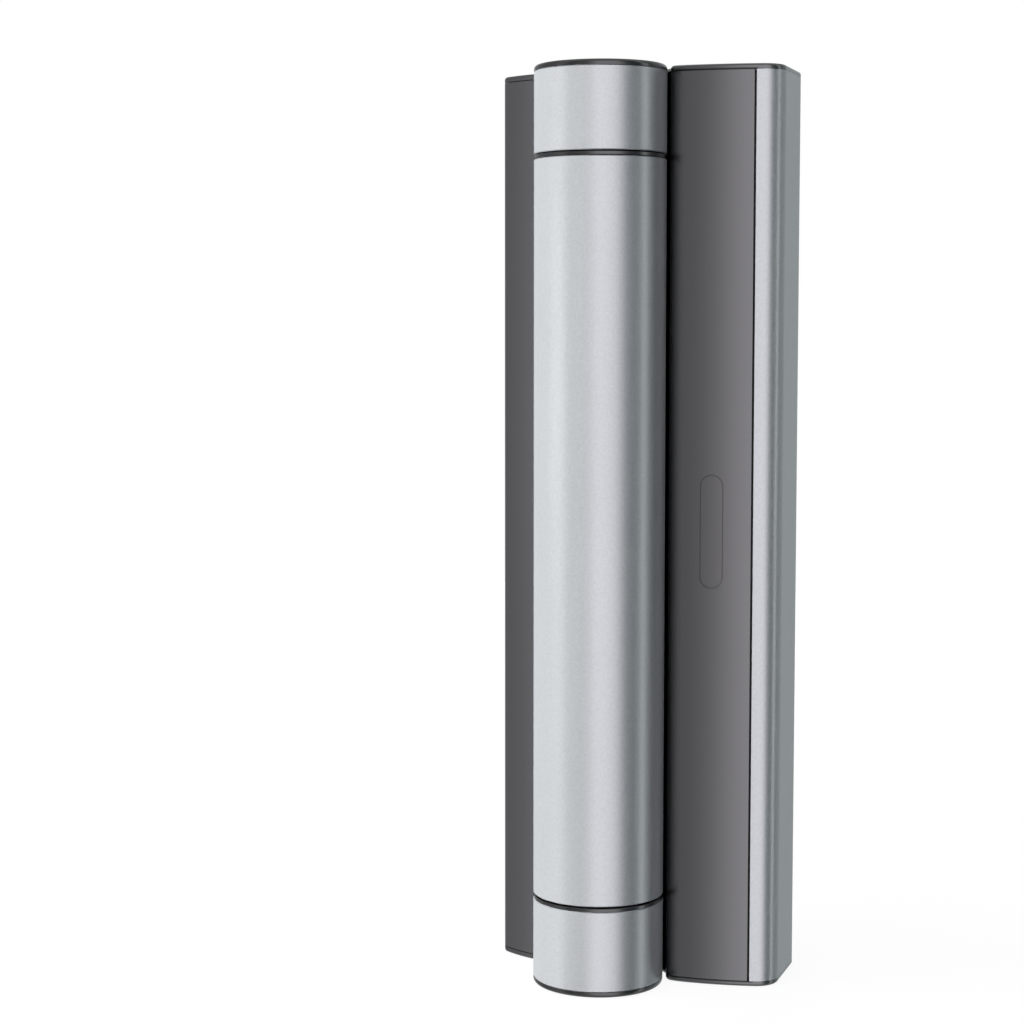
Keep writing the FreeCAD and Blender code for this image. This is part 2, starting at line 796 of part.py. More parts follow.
def gear_wire(teeth, root, tip, turn, tooth_share, base):
    # One closed outline of involute teeth; tooth_share is the half angle of a tooth at the pitch circle
    pitch = gear_module * teeth / 2
    pitch_turn = involute_angle(base, pitch)
    start = max(base, root)

    def half_angle(radius):
        return tooth_share + pitch_turn - involute_angle(base, radius)

    def at(radius, angle):
        return arc_point(Vector(0, 0, 0), radius, angle)

    edges = []
    step = 2 * math.pi / teeth
    for i in range(teeth):
        middle = turn + i * step
        flank = [start, (start + tip) / 2, tip]
        low = [at(r, middle - half_angle(r)) for r in flank]
        high = [at(r, middle + half_angle(r)) for r in flank]
        root_low = at(root, middle - half_angle(start))
        root_high = at(root, middle + half_angle(start))
        if start > root + 0.01:
            edges.append(line(root_low, low[0]))
            edges.append(line(high[0], root_high))
        edges.append(Part.Arc(*low).toShape())
        edges.append(Part.Arc(low[2], at(tip, middle), high[2]).toShape())
        edges.append(Part.Arc(high[2], high[1], high[0]).toShape())
        next_low = at(root, middle + step - half_angle(start))
        edges.append(Part.Arc(root_high, at(root, middle + step / 2), next_low).toShape())
    return Part.Wire(Part.__sortEdges__(edges))


def outer_gear(teeth, turn):
    # A spur gear with a tooth centred at the given angle
    pitch = gear_module * teeth / 2
    share = (math.pi * gear_module / 2 - tooth_play) / 2 / pitch
    base = pitch * math.cos(pressure_angle)
    wire = gear_wire(teeth, pitch - gear_dedendum * gear_module, pitch + gear_module, turn, share, base)
    return raised(Part.Face(wire), gears_z, gears_top)


def planet_gear(index):
    x, y = planet_places()[index]
    gear = outer_gear(planet_teeth, math.radians(planet_angles[index]))
    bore = planet_pin_radius + planet_bore_clearance
    return gear.cut(cyl(bore, gears_z - 1, gears_top + 1)).translated(Vector(x, y, 0))


def sun_pinion():
    gear = outer_gear(sun_teeth, math.radians(planet_angles[0]))
    shaft_top = gearbox_z + sun_socket_depth - 0.5
    return gear.fuse(cyl(sun_shaft_radius, gears_z, shaft_top)).removeSplitter()


def keys(z0, z1, play):
    # Two ribs, or with more play two slots, that stop a piece from turning in the barrel
    reach = seat_radius + key_height + play
    half = key_width / 2 + play
    root = seat_radius - 2
    return [box(root, reach, -half, half, z0, z1), box(-reach, -root, -half, half, z0, z1)]


def ring_gear():
    # The hole's outline is that of a gear: its teeth are the spaces between the ring's own teeth
    share = (math.pi * gear_module / 2 + tooth_play) / 2 / ring_pitch
    base = ring_pitch * math.cos(pressure_angle)
    root = ring_pitch - ring_addendum * gear_module
    tip = ring_pitch + gear_dedendum * gear_module
    wire = gear_wire(ring_teeth, root, tip, math.radians(planet_angles[0]), share, base)
    ring = cyl(seat_part_radius, lower_housing_top, motor_flange_z)
    ring = ring.multiFuse(keys(lower_housing_top, motor_flange_z, -seat_fit)).removeSplitter()
    teeth_z = gears_z - planet_side_gap / 2
    teeth_top = gears_top + planet_side_gap / 2
    free = ring_pitch + 1.5 * gear_module
    ring = ring.cut(cyl(free, lower_housing_top - 1, teeth_z)).cut(cyl(free, teeth_top, motor_flange_z + 1))
    return ring.cut(raised(Part.Face(wire), teeth_z - 1, teeth_top + 1))


def flange_screw_places():
    turns = [math.radians(45 + 90 * i) for i in range(4)]
    return [(flange_screw_circle * math.cos(a), flange_screw_circle * math.sin(a)) for a in turns]


def motor_flange():
    flange = cyl(seat_part_radius, motor_flange_z, gearbox_z)
    flange = flange.multiFuse(keys(motor_flange_z, gearbox_z, -seat_fit)).removeSplitter()
    flange = flange.cut(cyl(sun_shaft_radius + 1, motor_flange_z - 1, gearbox_z + 1))
    for x, y in flange_screw_places():
        hole = flange_screw_radius + seat_fit
        flange = flange.cut(cyl(hole, motor_flange_z - 1, gearbox_z + 1, x, y))
        sink = Part.makeCone(flange_screw_head + seat_fit, hole, cap_screw_head_height,
                             Vector(x, y, motor_flange_z), Vector(0, 0, 1))
        flange = flange.cut(sink)
    return flange


def motor_flange_screws():
    screws = []
    length = motor_flange_height + flange_screw_bite
    for x, y in flange_screw_places():
        screws.append(cone_screw(x, y, motor_flange_z, -1, flange_screw_radius, flange_screw_head,
                                 cap_screw_head_height, length, screw_socket))
    return Part.makeCompound(screws)


def gearbox_housing():
    body = cyl(gearbox_radius, gearbox_z, motor_z)
    foot = cyl(barrel_bore - seat_fit, gearbox_z, gearbox_z + gearbox_foot)
    body = body.fuse(foot).removeSplitter()
    for i in range(1, gearbox_stages):
        z = gearbox_z + gearbox_foot + i * (gearbox_length - gearbox_foot) / gearbox_stages
        groove = tube(gearbox_radius + 1, gearbox_radius - stage_groove, z - stage_groove, z + stage_groove)
        body = body.cut(groove)
    body = body.cut(cyl(sun_shaft_radius + seat_fit, gearbox_z - 1, gearbox_z + sun_socket_depth))
    for x, y in flange_screw_places():
        deep = gearbox_z + flange_screw_bite + 1.0
        body = body.cut(cyl(flange_screw_radius + seat_fit, gearbox_z - 1, deep, x, y))
    return body


def motor_can():
    return chamfered(cyl(motor_radius, motor_z, brake_z), 1.5, (brake_z,), motor_radius)


def holding_brake():
    return chamfered(cyl(brake_radius, brake_z, encoder_z), 1.0, (encoder_z,), brake_radius)


def encoder_cover():
    top = encoder_z + encoder_length
    cover = chamfered(cyl(encoder_radius, encoder_z, top), 1.5, (top,), encoder_radius)
    low = encoder_z + encoder_slot_margin
    high = top - encoder_slot_margin
    root = encoder_radius - encoder_slot_depth
    return cover.cut(box(root, encoder_radius + 1, -encoder_slot_half, encoder_slot_half, low, high))


def motor_damper():
    z1 = brake_z - damper_setback
    z0 = z1 - damper_length
    half = damper_notch / 2
    ring = tube(barrel_bore - seat_fit, motor_radius + seat_fit, z0, z1)
    notches = []
    for i in range(4):
        notch = box(motor_radius + 2, barrel_bore + 1, -half, half, z0 - 1, z1 + 1)
        notches.append(notch.rotated(Vector(0, 0, 0), Vector(0, 0, 1), 45 + 90 * i))
    return cut_all(ring, notches)


def bearing_housing(z0, shaft_radius):
    bore = shaft_radius + bush_clearance + bush_wall
    return tube(seat_part_radius, bore, z0, z0 + bearing_housing_height)


def flanged_bush(z0, shaft_radius):
    # A plain bush whose flange lies on top of its housing
    z1 = z0 + bearing_housing_height
    inner = shaft_radius + bush_clearance
    outer = inner + bush_wall - seat_fit
    bush = tube(outer, inner, z0, z1)
    return bush.fuse(tube(bush_flange_radius, inner, z1, z1 + bush_flange_height)).removeSplitter()


def circlip(z0):
    # An internal retaining ring with a gap and two eyelets
    z1 = z0 + circlip_height
    outer = seat_radius + circlip_groove - seat_fit
    inner = seat_radius - circlip_wall
    opening = box(-circlip_gap / 2, circlip_gap / 2, -barrel_radius, 0, z0 - 1, z1 + 1)
    ring = tube(outer, inner, z0, z1).cut(opening)
    for side in (-1, 1):
        x = side * (circlip_gap / 2 + eyelet_radius - 0.6)
        y = -math.sqrt(inner ** 2 - x ** 2) + 0.6
        ring = ring.fuse(cyl(eyelet_radius, z0, z1, x, y)).cut(cyl(eyelet_hole, z0 - 1, z1 + 1, x, y))
    return ring.common(cyl(outer, z0, z1)).removeSplitter()


def gate_section():
    hollow = square(-gate_leaf_side, 0, 0, mounting_plane - back_wall)
    section = gate_outline().cut(gate_outline(profile_wall).common(hollow))
    web_front = disc(relief_radius + profile_wall, 0, 0)
    open_front = square(-gate_leaf_side - 1, -gate_leaf_inner - profile_wall - 1, 0, gate_wrap_y + cover_fit)
    section = section.cut(open_front.cut(web_front))
    return with_ports(section, gate_ports, gate_port_corners)


def gate_leaf_profile():
    leaf = raised(gate_section(), leaf_z, leaf_top)
    ends = [cyl(relief_radius, leaf_z - 1, barrel_z), cyl(relief_radius, barrel_top, leaf_top + 1)]
    leaf = cut_all(leaf, ends)
    barrel = cyl(barrel_radius, barrel_z, barrel_top)
    barrel = chamfered(barrel, barrel_edge, (barrel_z, barrel_top), barrel_radius)
    joint = gate_outline(0, barrel_radius - 1).common(disc(relief_radius + 0.5, 0, 0))
    shape = leaf.multiFuse([barrel, raised(joint, barrel_z, barrel_top)]).removeSplitter()
    cuts = [cyl(barrel_bore, barrel_z - 1, barrel_top + 1)]
    cuts.append(cyl(seat_radius, barrel_z - 1, gearbox_z))
    cuts.append(cyl(seat_radius, upper_housing_z, barrel_top + 1))
    for z in (lower_clip_z, upper_clip_z):
        cuts.append(cyl(seat_radius + circlip_groove, z - seat_fit, z + circlip_height + seat_fit))
    cuts += keys(barrel_z - 1, gearbox_z, 0)
    cuts += bolt_holes(gate_bolt_x)
    return cut_all(shape, cuts)


def gate_leaf_cover():
    inner = disc(relief_radius + profile_wall + cover_fit, 0, 0)
    area = square(-gate_leaf_side - 1, -gate_leaf_inner - profile_wall - 1, 0, gate_wrap_y)
    section = band(gate_outline, 0, cover_wall).common(area).cut(inner)
    hook = band(gate_outline, cover_wall - 0.2, cover_leg_wall + 0.2)
    low = gate_wrap_y - gate_hook_reach
    high = gate_wrap_y + gate_hook_reach
    hook = hook.common(square(-gate_leaf_side, -gate_leaf_side + gate_hook_width, low, high))
    wall = square(-gate_leaf_side, -gate_leaf_side + profile_wall + cover_fit, gate_wrap_y, high + 1)
    section = section.fuse(hook.cut(wall))
    return raised(section.removeSplitter(), leaf_z + cover_end_gap, leaf_top - cover_end_gap)


def board_span():
    return post_x + profile_wall + board_side_play, post_side - profile_wall - board_side_play


def control_board():
    x0, x1 = board_span()
    half = board_thickness / 2
    return box(x0, x1, board_plane - half, board_plane + half, board_z, board_z + board_length)


def board_stops():
    x0, x1 = board_span()
    half = board_thickness / 2
    stops = []
    for z0 in (board_z - board_stop_height, board_z + board_length):
        z1 = z0 + board_stop_height
        bar = box(x0, x1, board_plane - half, board_plane + half, z0, z1)
        front = board_plane - half
        grip = box(x0 + board_stop_inset, x1 - board_stop_inset, front - board_stop_grip, front, z0, z1)
        stops.append(bar.fuse(grip).removeSplitter())
    return Part.makeCompound(stops)


def terminal_block():
    # A row of poles, each with a wire entry in its side and a screw hole in its front
    back = board_plane - board_thickness / 2
    front = back - terminal_depth
    z0 = board_z + terminal_place
    x = post_bolt_x
    side = x + terminal_width / 2
    half = terminal_entry / 2
    floor = back - terminal_floor
    block = box(x - terminal_width / 2, side, front, back, z0, z0 + terminal_poles * terminal_pitch)
    for i in range(terminal_poles):
        z = z0 + (i + 0.5) * terminal_pitch
        block = block.cut(box(x, side + 1, floor - terminal_entry, floor, z - half, z + half))
        block = block.cut(along(terminal_screw, (x, front - 1, z), (x, front + 2, z)))
    return block


def board_relays():
    back = board_plane - board_thickness / 2
    half = relay_width / 2
    relays = []
    for i in range(2):
        z0 = board_z + relay_place + i * relay_pitch
        relay = box(post_bolt_x - half, post_bolt_x + half, back - relay_depth, back, z0, z0 + relay_length)
        edges = [e for e in relay.Edges if e.BoundBox.YMax < back - 1]
        relays.append(relay.makeChamfer(component_edge, edges))
    return Part.makeCompound(relays)


def board_capacitors():
    back = board_plane - board_thickness / 2
    cans = []
    for i in range(2):
        z = board_z + capacitor_place + i * capacitor_pitch
        can = along(capacitor_radius, (post_bolt_x, back, z), (post_bolt_x, back - capacitor_length, z))
        edge = [e for e in can.Edges if isinstance(e.Curve, Part.Circle) and e.CenterOfMass.y < back - 1]
        cans.append(can.makeFillet(component_edge, edge))
    return Part.makeCompound(cans)


def cable_grommet():
    # A rubber bush in the back wall, with a lip on the inside
    inside = mounting_plane - back_wall
    outside = mounting_plane - grommet_setback
    x, z = grommet_x, grommet_z
    neck = along(grommet_neck - seat_fit, (x, inside - 1, z), (x, outside, z))
    lip = along(grommet_radius, (x, inside - grommet_lip, z), (x, inside, z))
    hole = along(grommet_bore, (x, inside - 5, z), (x, mounting_plane + 1, z))
    return neck.fuse(lip).cut(hole).removeSplitter()


parts = {
    "post_leaf_profile": post_leaf_profile,
    "post_leaf_cover": post_leaf_cover,
    "cover_seal": cover_seal,
    "post_leaf_top_cap": lambda: cap_with_screws(post_outline, post_ports, leaf_top, 1),
    "post_leaf_bottom_cap": lambda: cap_with_screws(post_outline, post_ports, 0.0, -1),
    "post_cap_screws": lambda: cap_screws(post_ports),
    "upper_knuckle": upper_knuckle,
    "lower_knuckle": lower_knuckle,
    "knuckle_screws": knuckle_screws,
    "upper_barrel_cap": lambda: barrel_cap(upper_knuckle_top, 1),
    "lower_barrel_cap": lambda: barrel_cap(0.0, -1),
    "upper_thrust_ring": lambda: thrust_ring(upper_knuckle_z - thrust_ring_height),
    "lower_thrust_ring": lambda: thrust_ring(barrel_z - joint_gap),
    "pivot_pin": pivot_pin,
    "pivot_pin_screws": pivot_pin_screws,
    "drive_shaft": drive_shaft,
    "shaft_washer": shaft_washer,
    "shaft_nut": shaft_nut,
    "planet_pins": planet_pins,
    "carrier_plate": carrier_plate,
    "cable_grommet": cable_grommet,
    "control_board": control_board,
    "terminal_block": terminal_block,
    "board_relays": board_relays,
    "board_capacitors": board_capacitors,
    "board_stops": board_stops,
    "gate_leaf_profile": gate_leaf_profile,
    "gate_leaf_cover": gate_leaf_cover,
    "gate_leaf_top_cap": lambda: cap_with_screws(gate_outline, gate_ports, leaf_top, 1),
    "gate_leaf_bottom_cap": lambda: cap_with_screws(gate_outline, gate_ports, 0.0, -1),
    "gate_cap_screws": lambda: cap_screws(gate_ports),
    "upper_bearing_housing": lambda: bearing_housing(upper_housing_z, pin_radius),
    "upper_bush": lambda: flanged_bush(upper_housing_z, pin_radius),
    "upper_circlip": lambda: circlip(upper_clip_z),
    "lower_bearing_housing": lambda: bearing_housing(lower_housing_z, journal_radius),
    "lower_bush": lambda: flanged_bush(lower_housing_z, journal_radius),
    "lower_circlip": lambda: circlip(lower_clip_z),
    "ring_gear": ring_gear,
    "motor_flange": motor_flange,
    "motor_flange_screws": motor_flange_screws,
    "gearbox_housing": gearbox_housing,
    "motor_can": motor_can,
    "holding_brake": holding_brake,
    "encoder_cover": encoder_cover,
    "motor_damper": motor_damper,
    "sun_pinion": sun_pinion,
}
for index in range(planet_count):
    parts[f"planet_gear_{index + 1}"] = lambda index=index: planet_gear(index)

os.makedirs("parts", exist_ok=True)
for name, build in parts.items():
    shape = build().translated(-origin)
    shape.exportStep(f"parts/{name}.step")
    print(name, len(shape.Solids), round(shape.Volume / 1000, 2), "cm3", shape.isValid())
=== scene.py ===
import json
import math

import bpy
import bmesh
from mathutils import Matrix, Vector


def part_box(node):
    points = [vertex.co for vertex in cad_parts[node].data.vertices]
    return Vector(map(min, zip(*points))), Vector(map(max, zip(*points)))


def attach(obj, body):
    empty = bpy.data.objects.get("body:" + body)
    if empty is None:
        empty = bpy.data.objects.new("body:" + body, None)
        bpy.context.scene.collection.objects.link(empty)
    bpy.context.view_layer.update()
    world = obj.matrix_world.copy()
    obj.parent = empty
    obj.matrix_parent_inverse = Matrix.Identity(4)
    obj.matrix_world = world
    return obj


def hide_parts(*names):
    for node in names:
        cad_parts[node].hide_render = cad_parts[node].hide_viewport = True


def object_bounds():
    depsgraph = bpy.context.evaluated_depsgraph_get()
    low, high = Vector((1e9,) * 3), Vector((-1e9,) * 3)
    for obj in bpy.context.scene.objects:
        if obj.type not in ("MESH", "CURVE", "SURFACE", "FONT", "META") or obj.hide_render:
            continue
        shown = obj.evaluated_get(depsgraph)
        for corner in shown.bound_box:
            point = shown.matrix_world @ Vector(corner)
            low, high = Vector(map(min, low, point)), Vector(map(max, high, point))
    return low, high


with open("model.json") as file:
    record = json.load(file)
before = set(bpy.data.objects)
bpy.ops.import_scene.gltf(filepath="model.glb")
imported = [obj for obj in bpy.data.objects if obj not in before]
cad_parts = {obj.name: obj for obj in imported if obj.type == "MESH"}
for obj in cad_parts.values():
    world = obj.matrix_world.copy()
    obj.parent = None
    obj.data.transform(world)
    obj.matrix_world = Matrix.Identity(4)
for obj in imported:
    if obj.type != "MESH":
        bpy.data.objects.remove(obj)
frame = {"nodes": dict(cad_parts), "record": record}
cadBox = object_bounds()
nodes = frame["nodes"]
print("frame loaded:", len(nodes), "nodes")


# The camera stands in front, a little to the right, and looks slightly down
cameraSetup = {
    "position": (0.24894, -1.06319, 0.0950),
    "tilt": 90.0 - 4.708,
    "turn": 18.7,
    "lens": 80.38,
    "sensor": 36.0,
    "nearest": 0.02,
    "farthest": 60.0,
}


def makeCamera(setup):
    data = bpy.data.cameras.new("camera")
    data.lens = setup["lens"]
    data.sensor_width = setup["sensor"]
    data.clip_start = setup["nearest"]
    data.clip_end = setup["farthest"]
    camera = bpy.data.objects.new("camera", data)
    camera.location = setup["position"]
    camera.rotation_euler = (math.radians(setup["tilt"]), 0.0, math.radians(setup["turn"]))
    bpy.context.collection.objects.link(camera)
    bpy.context.scene.camera = camera


makeCamera(cameraSetup)
bpy.context.scene.view_settings.view_transform = "Standard"
print("camera placed")


# Small helpers for node trees
def newMaterial(name):
    material = bpy.data.materials.new(name)
    material.use_nodes = True
    tree = material.node_tree
    tree.nodes.clear()
    output = tree.nodes.new("ShaderNodeOutputMaterial")
    return material, tree, output


def addNode(tree, kind, **values):
    node = tree.nodes.new(kind)
    for name, value in values.items():
        setattr(node, name, value)
    return node


def calc(tree, operation, *values):
    # A math node; each value is a number or another node's output
    node = addNode(tree, "ShaderNodeMath", operation=operation)
    for socket, value in zip(node.inputs, values):
        if isinstance(value, (int, float)):
            socket.default_value = value
        else:
            tree.links.new(value, socket)
    return node.outputs["Value"]


# Every finish uses the same two noises: a slow blotch and a fine grain
pattern = {
    "blotchDetail": 3.0,
    "grainDetail": 2.0,
    "spread": 0.25,  # how far a noise usually strays from its middle
}


def noiseOn(tree, scale, detail, stretch=(1.0, 1.0, 1.0)):
    # Noise in object coordinates, stretched along the axes
    place = addNode(tree, "ShaderNodeTexCoord")
    mapping = addNode(tree, "ShaderNodeMapping")
    mapping.inputs["Scale"].default_value = stretch
    noise = addNode(tree, "ShaderNodeTexNoise")
    noise.inputs["Scale"].default_value = scale
    noise.inputs["Detail"].default_value = detail
    tree.links.new(place.outputs["Object"], mapping.inputs["Vector"])
    tree.links.new(mapping.outputs["Vector"], noise.inputs["Vector"])
    return noise.outputs["Fac"]


def ranged(tree, source, low, high):
    # Brings the middle part of a noise to the range from low to high
    span = addNode(tree, "ShaderNodeMapRange")
    span.inputs["From Min"].default_value = 0.5 - pattern["spread"]
    span.inputs["From Max"].default_value = 0.5 + pattern["spread"]
    span.inputs["To Min"].default_value = low
    span.inputs["To Max"].default_value = high
    tree.links.new(source, span.inputs["Value"])
    return span.outputs["Result"]


def mixedColour(tree, source, first, second):
    mix = addNode(tree, "ShaderNodeMix", data_type="RGBA")
    mix.inputs["A"].default_value = (*first, 1.0)
    mix.inputs["B"].default_value = (*second, 1.0)
    tree.links.new(source, mix.inputs["Factor"])
    return mix.outputs["Result"]


def bumpFrom(tree, source, height):
    bump = addNode(tree, "ShaderNodeBump")
    bump.inputs["Strength"].default_value = 1.0
    bump.inputs["Distance"].default_value = height
    tree.links.new(source, bump.inputs["Height"])
    return bump.outputs["Normal"]


def shaded(colour, metallic, roughness, tone=0.06, speckle=0.02, grain=2500.0,
           grainHeight=0.00001, blotch=60.0, stretch=(1.0, 1.0, 1.0), specular=0.5,
           roughSpread=0.05):
    # A general finish: slow colour variation, and a fine grain in colour, roughness and relief
    return dict(colour=colour, metallic=metallic, roughness=roughness, tone=tone, speckle=speckle,
                grain=grain, grainHeight=grainHeight, blotch=blotch, stretch=stretch,
                specular=specular, roughSpread=roughSpread)


finishes = {
    "anodised_aluminium": shaded((0.595, 0.615, 0.63), 0.24, 0.33, tone=0.015, speckle=0.06,
                                 grain=900.0, grainHeight=0.000015, blotch=25.0, roughSpread=0.04),
    "cover_paint": shaded((0.023, 0.0225, 0.0235), 0.0, 0.27, tone=0.02, grain=1500.0,
                          grainHeight=0.0000002, blotch=30.0, specular=1.0, roughSpread=0.003),
    "leaf_cap_plastic": shaded((0.018, 0.0185, 0.0195), 0.0, 0.24, tone=0.02, grain=1500.0,
                               grainHeight=0.0000002, specular=0.9, roughSpread=0.003),
    "barrel_cap_plastic": shaded((0.005, 0.0055, 0.006), 0.0, 0.22, speckle=0.05, grain=1200.0,
                                 grainHeight=0.000002, specular=0.6, roughSpread=0.02),
    "ring_plastic": shaded((0.004, 0.0045, 0.005), 0.0, 0.22, grain=1200.0, grainHeight=0.000002,
                           specular=0.65, roughSpread=0.02),
    "screw_steel": shaded((0.52, 0.53, 0.54), 1.0, 0.28, grain=900.0, grainHeight=0.000006),
    "turned_steel": shaded((0.55, 0.55, 0.56), 1.0, 0.30, grain=1200.0, stretch=(1.0, 1.0, 8.0)),
    "spring_steel": shaded((0.16, 0.16, 0.17), 1.0, 0.35, grain=1400.0),
    "gear_steel": shaded((0.42, 0.42, 0.43), 1.0, 0.33, grain=1600.0, stretch=(1.0, 1.0, 6.0)),
    "bush_plastic": shaded((0.36, 0.25, 0.10), 0.0, 0.45, grain=1300.0),
    "turned_aluminium": shaded((0.68, 0.69, 0.70), 0.9, 0.32, grain=1500.0,
                               stretch=(1.0, 1.0, 10.0)),
    "gearbox_metal": shaded((0.50, 0.51, 0.53), 0.9, 0.36, grain=1100.0, grainHeight=0.00002),
    "motor_can_metal": shaded((0.58, 0.58, 0.57), 1.0, 0.26, grain=1400.0, stretch=(1.0, 1.0, 0.1)),
    "brake_metal": shaded((0.05, 0.05, 0.055), 0.4, 0.42, grain=1200.0),
    "encoder_plastic": shaded((0.02, 0.02, 0.022), 0.0, 0.45, grain=1500.0),
    "rubber": shaded((0.008, 0.008, 0.008), 0.0, 0.6, speckle=0.1, grain=900.0, grainHeight=0.00003,
                     specular=0.25),
    "circuit_board": shaded((0.01, 0.12, 0.05), 0.0, 0.35, grain=300.0),
    "terminal_plastic": shaded((0.05, 0.28, 0.12), 0.0, 0.42, grain=1200.0),
    "relay_plastic": shaded((0.02, 0.06, 0.20), 0.0, 0.35, grain=1200.0),
    "capacitor_sleeve": shaded((0.02, 0.02, 0.03), 0.0, 0.25, grain=800.0),
    "stop_plastic": shaded((0.55, 0.54, 0.50), 0.0, 0.45, grain=1100.0),
}


def finishMaterial(name, look):
    material, tree, output = newMaterial(name)
    shader = addNode(tree, "ShaderNodeBsdfPrincipled")
    shader.inputs["Metallic"].default_value = look["metallic"]
    shader.inputs["Specular IOR Level"].default_value = look["specular"]
    blotch = noiseOn(tree, look["blotch"], pattern["blotchDetail"])
    light = [min(1.0, c * (1 + look["tone"])) for c in look["colour"]]
    dark = [c * (1 - look["tone"]) for c in look["colour"]]
    colour = mixedColour(tree, ranged(tree, blotch, 0.0, 1.0), dark, light)
    grain = noiseOn(tree, look["grain"], pattern["grainDetail"], look["stretch"])
    fleck = addNode(tree, "ShaderNodeVectorMath", operation="SCALE")
    tree.links.new(colour, fleck.inputs["Vector"])
    shade = ranged(tree, grain, 1.0 - look["speckle"], 1.0 + look["speckle"])
    tree.links.new(shade, fleck.inputs["Scale"])
    low = look["roughness"] - look["roughSpread"]
    high = look["roughness"] + look["roughSpread"]
    tree.links.new(fleck.outputs["Vector"], shader.inputs["Base Color"])
    tree.links.new(ranged(tree, grain, low, high), shader.inputs["Roughness"])
    tree.links.new(bumpFrom(tree, grain, look["grainHeight"]), shader.inputs["Normal"])
    tree.links.new(shader.outputs["BSDF"], output.inputs["Surface"])
    return material


materials = {name: finishMaterial(name, look) for name, look in finishes.items()}

slotOf = {part["node"]: part["material_slot"] for part in frame["record"]["subparts"]}

# Painted shade: faces deep in a gap are painted black where shade falls, beside the barrel and at
# the neck of each thrust ring
barrelAxis = (-0.050, -0.0545)
gapShades = {
    "shadeBesideBarrel": {"innerRadius": 0.0304, "outerRadius": 0.0335, "slot": "anodised_aluminium",
                     "nodes": ("upper_knuckle", "lower_knuckle", "post_leaf_profile")},
    "shadeInRingNeck": {"innerRadius": 0.0, "outerRadius": 0.0293, "slot": "ring_plastic",
                 "nodes": ("upper_thrust_ring", "lower_thrust_ring")},
}
# The colour of the painted shade in the gaps and along the pill's groove
paintedShadeBlack = (0.003, 0.003, 0.003, 1.0)


def paintShade(material, mask):
    # Mixes painted shade, a black diffuse, into a finish where the mask says so
    tree = material.node_tree
    output = next(node for node in tree.nodes if node.type == "OUTPUT_MATERIAL")
    plainFinish = output.inputs["Surface"].links[0].from_socket
    black = addNode(tree, "ShaderNodeBsdfDiffuse")
    black.inputs["Color"].default_value = paintedShadeBlack
    mix = addNode(tree, "ShaderNodeMixShader")
    tree.links.new(mask, mix.inputs["Fac"])
    tree.links.new(plainFinish, mix.inputs[1])
    tree.links.new(black.outputs["BSDF"], mix.inputs[2])
    tree.links.new(mix.outputs["Shader"], output.inputs["Surface"])


# A finish with painted shade: black mixed in between two radii from the barrel's axis
def gapShadeMaterial(name, look, setup):
    material = finishMaterial(name, look)
    tree = material.node_tree
    place = addNode(tree, "ShaderNodeTexCoord")
    fromAxis = addNode(tree, "ShaderNodeVectorMath", operation="SUBTRACT")
    fromAxis.inputs[1].default_value = (*barrelAxis, 0.0)
    tree.links.new(place.outputs["Object"], fromAxis.inputs[0])
    flat = addNode(tree, "ShaderNodeVectorMath", operation="MULTIPLY")
    flat.inputs[1].default_value = (1.0, 1.0, 0.0)
    tree.links.new(fromAxis.outputs["Vector"], flat.inputs[0])
    reach = addNode(tree, "ShaderNodeVectorMath", operation="LENGTH")
    tree.links.new(flat.outputs["Vector"], reach.inputs[0])
    beyond = calc(tree, "GREATER_THAN", reach.outputs["Value"], setup["innerRadius"])
    within = calc(tree, "LESS_THAN", reach.outputs["Value"], setup["outerRadius"])
    paintShade(material, calc(tree, "MULTIPLY", beyond, within))
    return material


gapShadeFinish = {}
for gapName, gapSetup in gapShades.items():
    made = gapShadeMaterial(gapSetup["slot"] + "_" + gapName, finishes[gapSetup["slot"]], gapSetup)
    for nodeName in gapSetup["nodes"]:
        gapShadeFinish[nodeName] = made
print("materials made:", len(materials) + len(gapShades))


def dressNode(obj, material):
    if obj.material_slots:
        for place in obj.material_slots:
            place.material = material
    else:
        obj.data.materials.append(material)


# Nodes beside the barrel and the thrust rings get their finish with painted shade
for nodeName, obj in nodes.items():
    dressNode(obj, gapShadeFinish.get(nodeName, materials[slotOf[nodeName]]))
print("nodes dressed")


# Pieces that stand for CAD nodes, with more detail than the solids
sharpAngle = 32.0


def softened(mesh):
    # Faces outwards, smooth across gentle bends and sharp at corners
    shell = bmesh.new()
    shell.from_mesh(mesh)
    bmesh.ops.recalc_face_normals(shell, faces=shell.faces)
    shell.to_mesh(mesh)
    shell.free()
    mesh.shade_smooth()
    mesh.set_sharp_from_angle(angle=math.radians(sharpAngle))
    return mesh


def addPiece(name, mesh, body, replaced, material):
    mesh.materials.clear()
    mesh.materials.append(material)
    piece = bpy.data.objects.new(name, mesh)
    bpy.context.collection.objects.link(piece)
    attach(piece, body)
    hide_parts(*replaced)
    return piece


def evenNormals(mesh):
    # Large faces keep their own normal beside a rounded rim
    holder = bpy.data.objects.new(mesh.name, mesh)
    bpy.context.collection.objects.link(holder)
    holder.modifiers.new("even", "WEIGHTED_NORMAL").keep_sharp = True
    return bakedMesh(holder)


def bakedMesh(obj):
    # The evaluated result of an object's modifiers as a plain mesh; the object itself goes
    evaluated = obj.evaluated_get(bpy.context.evaluated_depsgraph_get())
    mesh = bpy.data.meshes.new_from_object(evaluated)
    bpy.data.objects.remove(obj)
    return mesh


# The rings between barrel and knuckles nearly fill the barrel's outline, below a narrow neck
thrustRing = {
    "outerRadius": 0.0301,
    "innerRadius": 0.02275,
    "neckRadius": 0.0290,
    "neckHeight": 0.0006,
    "edge": 0.0002,
    "steps": 180,
}


def stepped(centre, turn, reach):
    # The point at a distance from a centre, in the direction of turn
    return centre[0] + reach * math.cos(turn), centre[1] + reach * math.sin(turn)


